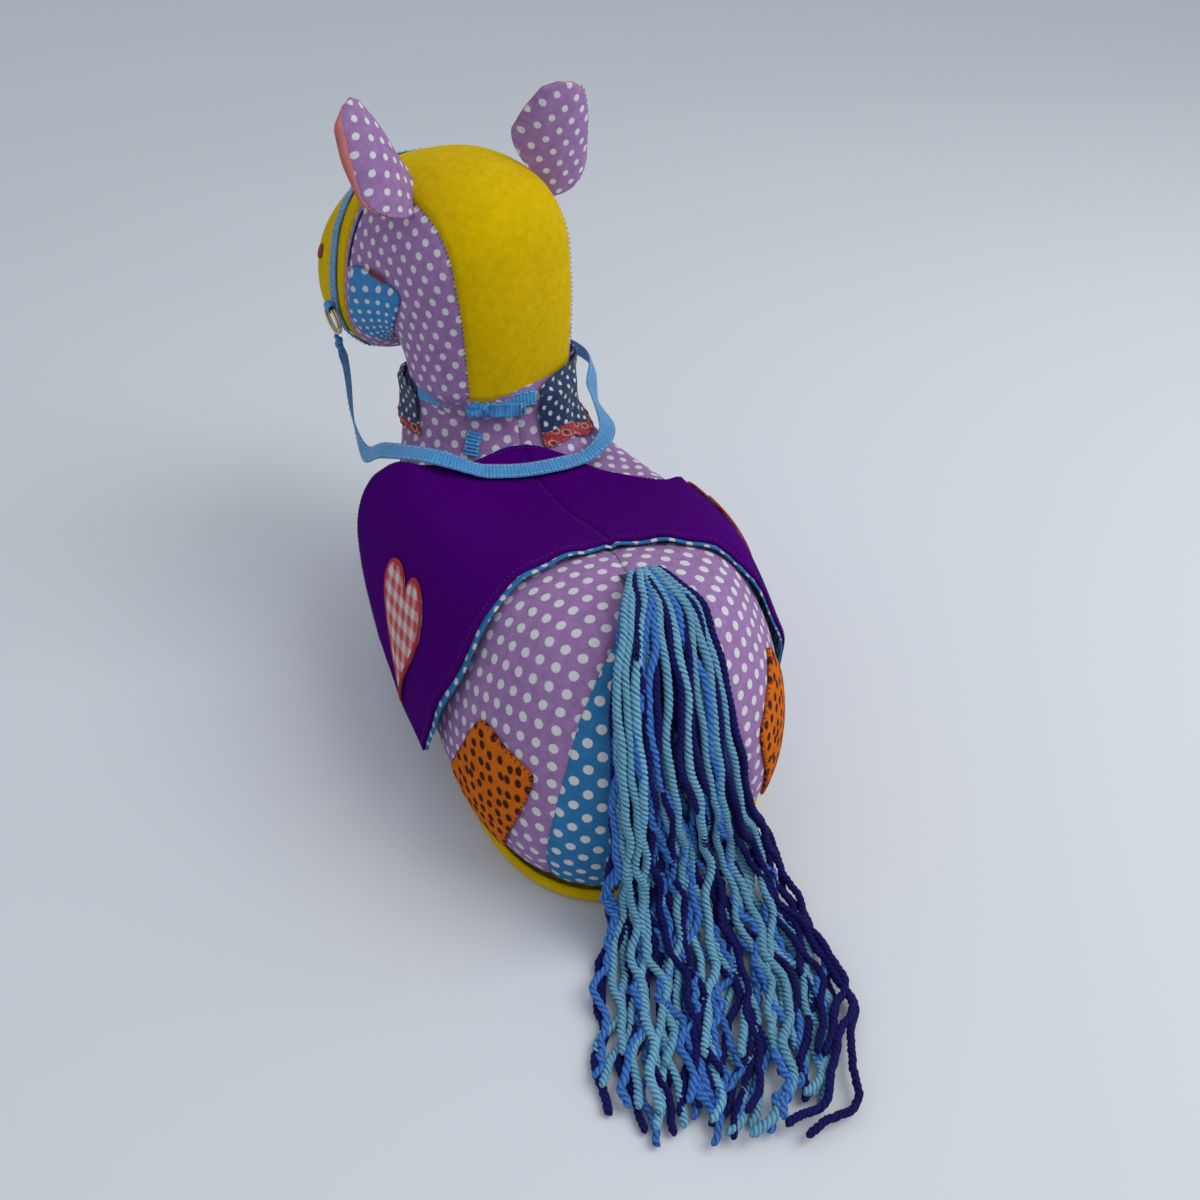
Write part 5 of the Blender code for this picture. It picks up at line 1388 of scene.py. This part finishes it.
def neck_wrap(angle, share, low_place, lift):
    """Round the neck: share 0 lies on the head's neck, 1 on the chest at the given place of the body."""
    split = 0.22
    above = (0.038 + 0.020 * np.cos(angle - math.radians(5))) * np.clip(1 - share / split, 0, 1)
    below = 1 - (1 - low_place) * np.clip((share - split) / (1 - split), 0, 1)
    on_head = lifted(head_point, angle + HEAD_TURN, above, lift)
    on_body = lifted(body_point, angle, below, lift)
    blend = np.clip((share - split * 0.6) / (split * 0.8), 0, 1)[..., None]
    return on_head * (1 - blend) + on_body * blend


def kerchief_low(angle):
    """Place on the chest where the cloth ends: lowest in front."""
    return 0.75 + 0.195 * np.minimum(np.abs(angle - math.radians(195)) / math.radians(125), 1)


def folds(angle, share):
    """Soft folds that run down from the tie, a wave in angle that grows towards the cloth's edge."""
    near_end = np.exp(-np.minimum(angle - KERCHIEF_START, KERCHIEF_END - angle) / 0.5)
    wave = np.sin(11 * angle + 2 * share) + 0.5 * np.sin(23 * angle + 1 - 3 * share)
    return 0.0007 * wave * (0.5 + share) * (0.75 - 0.55 * near_end)


def kerchief_grid(columns, rows, share_from, share_to):
    angle, share = np.meshgrid(np.linspace(KERCHIEF_START, KERCHIEF_END, columns),
                               np.linspace(share_from, share_to, rows))
    share = share + (1 - share) * 0.45 * np.exp(-(KERCHIEF_END - angle) / 0.20)
    turned_out = 1 + 4.0 * np.exp(-((angle - math.radians(205)) / math.radians(45)) ** 2)
    flare = 0.0014 * np.clip((0.55 - share) / 0.3, 0, 1) * turned_out
    return angle, share, KERCHIEF_LIFT + CLOTH + flare


angle, share, height = kerchief_grid(170, 60, 0.0, 1.0)
points = neck_wrap(angle, share, kerchief_low(angle), height + folds(angle, share))
kerchief_flat, kerchief_cut = lie_flat(points), cut_size(points)
kerchief = piece("kerchief_cloth", cloth_mesh("kerchief_cloth", points, kerchief_flat, inside=neck_middle),
                 denim_cloth,
                 ("kerchief",), thickness=CLOTH)
angle, step = np.meshgrid(np.linspace(KERCHIEF_START, KERCHIEF_END, 170), np.linspace(-0.002, 0.024, 12))
trim_lift = KERCHIEF_LIFT + CLOTH + folds(angle, 1.0) + 0.0006 * np.exp(-(((step - 0.001) / 0.003) ** 2))
points = lifted(body_point, angle, kerchief_low(angle) - step, trim_lift)
trim_flat, trim_cut = lie_flat(points), cut_size(points)
trim = piece("kerchief_edge", cloth_mesh("kerchief_edge", points, trim_flat, inside=neck_middle), trim_print,
             ("kerchief_trim",), thickness=CLOTH)
print("kerchief cut", kerchief_cut, trim_cut)

# %% Neck tie
TIE_PLACE, TIE_KNOT_PLACE = 0.996, 0.990
tie_turns = np.linspace(KERCHIEF_END - 2 * math.pi + 0.02, KERCHIEF_START - 0.02, 90)
tie_line = lifted(body_point, tie_turns, TIE_PLACE, PATCH_LIFT * 1.5 + RIBBON)
tie_out = skin_normal(body_point, tie_turns, np.full(90, TIE_PLACE))
points, cloth, out, wide = ribbon_grid(tie_line, tie_out, RIBBON_WIDTH, 11, 0.0006)
ribbon_piece("neck_tie_ribbon", points, cloth, ("neck_tie",))
tie_rows = edge_stitches(tie_line, out, wide, 0.00035)
centre, normal = stand(body_point, math.radians(24), TIE_KNOT_PLACE, RIBBON_WIDTH * 0.30)
ahead = unit(stand(body_point, math.radians(30), 0.972, 0)[0]
             - stand(body_point, math.radians(18), 0.972, 0)[0])
knot("neck_tie_knot_ribbon", centre, normal, ahead, 0.0052, ribbon_cloth, ("neck_tie_knot",), 0.6, 0.46)


def short_ribbon(name, first, last, lift, bulge, width, replaces, layers=1, turn=0.0):
    """A short free end or a loop: a line over the skin that bulges up by a half sine wave. A loop comes back over."""
    s = np.linspace(0, 1, 50)
    there = s if layers == 1 else 1 - np.abs(2 * s - 1)
    way = np.radians(first[0] + (last[0] - first[0]) * there), first[1] + (last[1] - first[1]) * there
    high = lift + bulge * np.sin(math.pi * s * (1 if layers == 1 else 0.5)) ** 0.8
    line = lifted(body_point, way[0], way[1], high)
    line = even(line, 50)
    outward = skin_normal(body_point, way[0], way[1])
    if layers == 2:
        turned = unit(line[25] - line[0]) * np.sin(math.pi * s)[:, None]
        outward = outward * np.cos(math.pi * s)[:, None] + turned
    outward = outward + np.cross(unit(np.gradient(line, axis=0)), outward) * (turn * s)[:, None]
    points, cloth, out, wide = ribbon_grid(line, outward, width, 9, 0.0004)
    points = points + out[:, None] * (0.00035 * np.sin(s * 40))[:, None, None]
    ribbon_piece(name, points, cloth, replaces)
    return edge_stitches(line, out, wide, 0.0003, width)


tie_rows += short_ribbon("neck_tie_bow", (17, TIE_KNOT_PLACE), (-4, 0.986), 0.0018, 0.0042,
                         0.8 * RIBBON_WIDTH, ("neck_tie_loop",), 2)
tie_rows += short_ribbon("neck_tie_tail", (28, 0.958), (34, 0.918), 0.0016, 0.0012, 0.95 * RIBBON_WIDTH,
                         ("neck_tie_end",), 1, 0.2)
ribbon_sewing("neck_tie_stitches", tie_rows)

# %% [markdown]
# ## Noseband, rings and their loops
# The noseband is the same ribbon round the muzzle. Each ring is a split ring: one wire wound twice round, so its line
# is a flat helix of two turns. A short loop of ribbon holds it.

# %% Noseband and rings
band_turns = np.linspace(0, 2 * math.pi, 161)
band_line = lifted(head_point, band_turns, NOSEBAND_PLACE, PATCH_LIFT + RIBBON)
band_line[-1] = band_line[0]
band_out = skin_normal(head_point, band_turns, np.full(161, NOSEBAND_PLACE))
share = np.linspace(-0.5, 0.5, 9)
step = 1e-3
speed = np.linalg.norm(head_point(band_turns, NOSEBAND_PLACE + step)
                       - head_point(band_turns, NOSEBAND_PLACE - step), axis=-1) / (2 * step)
band_places = NOSEBAND_PLACE + share[:, None] * (RIBBON_WIDTH / speed)[None]
band_grid = np.broadcast_to(band_turns, band_places.shape)
crown_bow = 0.0003 * (1 - (2 * share[:, None]) ** 2)
points = lifted(head_point, band_grid, band_places,
                PATCH_LIFT + RIBBON + crown_bow + 0.0002 * np.sin(17 * band_grid))
run = run_of(band_line)
cloth = cloth_places(run[None], share[:, None] * RIBBON_WIDTH)
mesh = weld(cloth_mesh("noseband_ribbon", points, cloth, inside=tuple(band_line.mean(axis=0))))
piece("noseband_ribbon", mesh, ribbon_cloth, ("noseband",), thickness=RIBBON)
band_wide = unit(np.cross(band_out, unit(np.gradient(band_line, axis=0))))
ribbon_sewing("noseband_stitches", edge_stitches(band_line, band_out, band_wide, 0.0003))
SPLIT_WIRE, SPLIT_OFFSET, RING_LOOP_WIDTH = 0.00072, 0.00078, 0.0058
for (middle, normal, upward), name in zip(ring_frames, ("left", "right")):
    across = np.cross(normal, upward)
    t = np.linspace(0.35 * math.pi, 4.3 * math.pi, 200)[:, None]
    wound = RING_RADIUS + 0.00006 * np.sin(2 * t)
    beside = SPLIT_OFFSET * np.tanh((t - 2.32 * math.pi) * 1.3)
    line = middle + (upward * np.cos(t) + across * np.sin(t)) * wound + normal * beside
    points, cloth = tube(line, SPLIT_WIRE, 10, 1.0, normal)
    mesh = mesh_of("split_ring_" + name, [(points, cloth, {})], wrap=True, seam=True, caps=True)
    piece("split_ring_" + name, mesh, ring_metal, ("ring_" + name,), body=name + "_ring")
    top = middle + upward * RING_RADIUS
    turn = np.linspace(0, 2 * math.pi, 41)
    hoop = top + (upward * np.cos(turn)[:, None] + normal * np.sin(turn)[:, None]) * (LOOP_RADIUS + RIBBON)
    width = np.linspace(-0.5, 0.5, 7) * RING_LOOP_WIDTH
    points = hoop[:, None] + across * width[None, :, None]
    cloth = cloth_places(run_of(hoop)[:, None], width[None])
    mesh = weld(cloth_mesh("ring_ribbon_" + name, points, cloth, inside=tuple(top)))
    piece("ring_ribbon_" + name, mesh, ribbon_cloth, ("ring_loop_" + name,), thickness=RIBBON)
print("rings at", [ring[0].round(4).tolist() for ring in ring_frames])

# %% [markdown]
# ## The yarn tail
# Sixty-six strands of yarn in three blues are sewn on at the top of the gusset. They run down the rump side by
# side and spread over the floor. The tail's left and right edges are given at fourteen stations; a strand's place at
# a station is a share between them, and its layer lifts it. Each strand is a tube of three plies twisted together.

# %% Tail stations and strands
# Left and right edge on the rump: angle and place, angle and place
rump_edges = (
    (0.5, 0.522, -5.5, 0.520), (3.0, 0.498, -10.0, 0.488), (5.0, 0.475, -15.0, 0.453),
              (8.0, 0.430, -15.5, 0.403),
    (9.5, 0.385, -16.0, 0.352), (10.5, 0.310, -18.5, 0.260), (10.0, 0.242, -21.5, 0.170),
)
# Left and right edge beyond it: points, then the way up from what is under the strands
floor_edges = (
    ((0.0360, 0.1462, 0.046), (-0.0500, 0.1350, 0.014), (0, 0.85, 0.53)),
    ((0.0380, 0.1510, 0.016), (-0.0540, 0.1590, 0.001), (0, 0.45, 0.89)),
    ((0.0450, 0.1640, 0.001), (-0.0566, 0.1899, 0.000), (0, 0.05, 1)),
    ((0.0520, 0.1830, 0.000), (-0.0570, 0.2130, 0.000), (0, 0, 1)),
    ((0.0594, 0.2035, 0.000), (-0.0450, 0.2360, 0.000), (0, 0, 1)),
    ((0.0640, 0.2238, 0.000), (-0.0318, 0.2540, 0.000), (0, 0, 1)),
    ((0.0620, 0.2458, 0.000), (-0.0010, 0.2660, 0.000), (0, 0, 1)),
)
TAIL_CLEAR, STRAND_RADIUS, LAYER_STEP = 0.0012, 0.00215, 0.0034
# Top strands: yarn, then the share from the left edge at the third, fifth, sixth and eighth station
top_strands = (
    ("aqua", 0.04, 0.02, 0.06, 0.08), ("aqua", 0.09, 0.10, 0.13, 0.14), ("navy", 0.15, 0.24, 0.26, 0.22),
    ("aqua", 0.24, 0.17, 0.20, 0.17), ("mid", 0.28, 0.22, 0.18, 0.30), ("navy", 0.31, 0.35, 0.32, 0.34),
    ("mid", 0.35, 0.29, 0.29, 0.43), ("aqua", 0.38, 0.42, 0.37, 0.39), ("navy", 0.44, 0.53, 0.45, 0.56),
    ("aqua", 0.51, 0.58, 0.52, 0.53), ("navy", 0.65, 0.62, 0.57, 0.79), ("aqua", 0.72, 0.68, 0.66, 0.62),
    ("mid", 0.58, 0.76, 0.71, 0.66), ("aqua", 0.79, 0.82, 0.74, 0.69), ("navy", 0.83, 0.87, 0.80, 0.84),
    ("aqua", 0.88, 0.92, 0.88, 0.87), ("navy", 0.99, 1.00, 0.97, 0.96),
)
STATIONS = len(rump_edges) + len(floor_edges)


def tail_place(share, high):
    """The point under a strand at each station: between the edges on the rump's skin, or on a line beyond it."""
    points = []
    for k, (left_a, left_p, right_a, right_p) in enumerate(rump_edges):
        angle = math.radians(left_a + (right_a - left_a) * share[k])
        points.append(stand(body_point, angle, left_p + (right_p - left_p) * share[k],
                            TAIL_CLEAR + high[k])[0])
    for k, (left, right, up) in enumerate(floor_edges, start=len(rump_edges)):
        up = np.array(up) / np.linalg.norm(up)
        points.append(np.array(left) * (1 - share[k]) + np.array(right) * share[k] + up * (0.0003 + high[k]))
    return np.array(points)


def strand_line(kind, shares, layer, end):
    """One strand's line: a smooth curve through its stations up to its end, with slow wanders and, where it lies
    loose, small kinks. Steps are even."""
    stations = np.arange(STATIONS, dtype=float)
    loose = np.clip((stations - 6) / 4, 0, 1)
    uneven = dice.normal(0, 0.0004, STATIONS) * (1 + loose)
    high = STRAND_RADIUS + layer * LAYER_STEP * (1 - 0.35 * loose) + uneven
    high = np.maximum(high, STRAND_RADIUS * 0.95)
    points = tail_place(shares, high)
    fine = spline(np.column_stack([stations, points]), np.linspace(0, end, 500))
    line = even(fine, 700)
    run = run_of(line)
    amount = (0.0005 + 0.0013 * np.clip((run - 0.09) / 0.07, 0, 1)) * (1.35 if kind == "mid" else 0.8)
    phase = dice.uniform(0, 2 * math.pi, 4)
    sway = np.sin(run * 2 * math.pi / 0.043 + phase[0]) + 0.6 * np.sin(run * 2 * math.pi / 0.023 + phase[1])
    kink = {"aqua": 0.10, "navy": 0.16, "mid": 0.34}[kind]
    swelling = 0.6 + 0.4 * np.sin(run * 90 + phase[3])
    sway = sway + kink * np.sin(run * 2 * math.pi / 0.0075 + phase[2]) * swelling
    side = unit(np.cross(np.gradient(line, axis=0), [0.0, 0.35, 1.0]))
    line = line + side * (amount * sway)[:, None]
    line[:, 2] = np.maximum(line[:, 2], STRAND_RADIUS * 0.9)
    return even(line, int(run[-1] / 0.00072))


def yarn_tube(kind, line):
    """A twisted strand: its radius swells over each of its three plies, whose crests wind round it."""
    radius = {"aqua": 0.00182, "navy": 0.00172, "mid": 0.00168}[kind] * (1 + dice.normal(0, 0.05))
    lay = {"aqua": 0.0072, "navy": 0.0084, "mid": 0.0096}[kind]
    depth = {"aqua": 0.26, "navy": 0.24, "mid": 0.20}[kind]
    sides = 10
    run = arc_lengths(line[:, None], 0)
    turn = np.linspace(0, 2 * math.pi, sides, endpoint=False)
    crest = np.abs(np.cos(1.5 * turn[None] - 3 * math.pi * run / lay))
    fluff = 1 + 0.05 * np.sin(run * 1900 + dice.uniform(0, 6)) * np.sin(run * 613)
    shape = (1 - depth + depth * crest**0.8 * 1.25) * fluff
    end = np.clip(np.minimum(run, run[-1] - run) / (radius * 1.1), 0.03, 1) ** 0.5
    points, cloth = tube(line, radius, sides, 1.0, (1.0, 0.0, 0.0), shape * end)
    return points, cloth, {"crest": crest, "tone": np.full(crest.shape, dice.uniform(0, 1)),
                           "run": run * np.ones_like(crest)}


def strand_shares(known=None):
    """Shares at all stations. A top strand has four known ones; the rest wander near a share of their own."""
    stations = np.arange(STATIONS)
    if known is None:
        home = dice.uniform(0.02, 0.98)
        drift = np.cumsum(dice.normal(0, 0.042, STATIONS))
        return np.clip(home + drift - drift[3], 0.01, 0.99)
    late = np.clip(known[3] * 1.02 + dice.normal(0, 0.10), 0.0, 1.0)
    final = np.clip(late + dice.normal(0, 0.10), 0.0, 1.0)
    return np.interp(stations, (0, 2, 4, 5, 7, 10, 13),
                     (known[0], known[0], known[1], known[2], known[3], late, final))


strands = {"aqua": [], "navy": [], "mid": []}
for kind, *known in top_strands:
    strands[kind].append(yarn_tube(kind,
                                   strand_line(kind, strand_shares(known), 2.0, dice.uniform(11.2, 13.0))))
hidden = dice.permutation(["aqua"] * 16 + ["navy"] * 19 + ["mid"] * 14)
for number, kind in enumerate(hidden):
    layer = (0.0, 0.8, 1.2)[number % 3]
    strands[kind].append(yarn_tube(kind, strand_line(kind, strand_shares(), layer, dice.uniform(11.0, 13.0))))
for kind, tubes in strands.items():
    mesh = mesh_of("tail_" + kind, tubes, wrap=True, seam=True, caps=True)
    made = piece("tail_" + kind, mesh, {"aqua": yarn_aqua, "navy": yarn_navy, "mid": yarn_mid}[kind],
                 ("tail_yarn",) if kind == "aqua" else (), body="tail")
    print(made.name, len(tubes), "strands", len(mesh.polygons) * 2, "triangles")

# %% Tail stitch
HOLD_LOW_PLACE, HOLD_MIDDLE_PLACE, HOLD_HIGH_PLACE = 0.518, 0.535, 0.548
row = np.linspace(-1, 1, 9)
holds = []
for k, lift in ((0, 0.0), (1, 0.0004)):
    angle = np.radians(-1.6 + row * 2.6 + 0.5 * k)
    low = lifted(body_point, angle, HOLD_LOW_PLACE + 0.002 * k, 0.0003)
    high = lifted(body_point, angle + math.radians(0.8 - 1.6 * k), HOLD_HIGH_PLACE, 0.0001)
    holds.append((low, high, skin_normal(body_point, angle, np.full(9, HOLD_MIDDLE_PLACE))))
tail_sewing = sewing("tail_thread", holds, navy_thread, 0.00062, 0.0022)
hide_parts("tail_stitch")

# %% [markdown]
# ## The floor and the light
# The toy sits on a plain pale floor under a bright even room. One large soft lamp stands behind the camera's left,
# as a window would, so the shadows are short and soft.

# %% Floor and light
FLOOR_HALF_SIZE = 7.0
floor_mesh = bpy.data.meshes.new("floor")
corners = np.array([(-1, -1, 0), (1, -1, 0), (1, 1, 0), (-1, 1, 0)]) * FLOOR_HALF_SIZE
floor_mesh.from_pydata(corners.tolist(), [], [(0, 1, 2, 3)])
floor = bpy.data.objects.new("floor", floor_mesh)
bpy.context.scene.collection.objects.link(floor)
floor_paint = Paint("floor", roughness=0.8, specular=0.1)
floor_tone = floor_paint.mix(floor_paint.noise(0.5), (0.66, 0.69, 0.72), (0.68, 0.71, 0.74))
floor_mesh.materials.append(floor_paint.finish(floor_tone))
world = bpy.data.worlds.new("room")
bpy.context.scene.world = world
world.use_nodes = True
world.node_tree.nodes["Background"].inputs[0].default_value = (0.72, 0.76, 0.82, 1)
world.node_tree.nodes["Background"].inputs[1].default_value = 0.75


def area_lamp(name, place, target, size, power, colour=(1, 1, 1)):
    """A soft square lamp that looks at a point."""
    data = bpy.data.lights.new(name, "AREA")
    data.size, data.energy, data.color = size, power, colour
    lamp = bpy.data.objects.new(name, data)
    bpy.context.scene.collection.objects.link(lamp)
    way = np.array(place) - np.array(target)
    way = way / np.linalg.norm(way)
    side = np.cross([0.0, 1.0, 0.3], way)
    side = side / np.linalg.norm(side)
    turned = Matrix([[*row] for row in np.column_stack([side, np.cross(way, side), way]).tolist()])
    lamp.matrix_world = Matrix.Translation(place) @ turned.to_4x4()


area_lamp("window", (-0.9, 0.5, 1.3), (0, 0, 0.1), 1.2, 14)

# %% View transform
bpy.context.scene.view_settings.view_transform = "Standard"
bpy.context.view_layer.update()
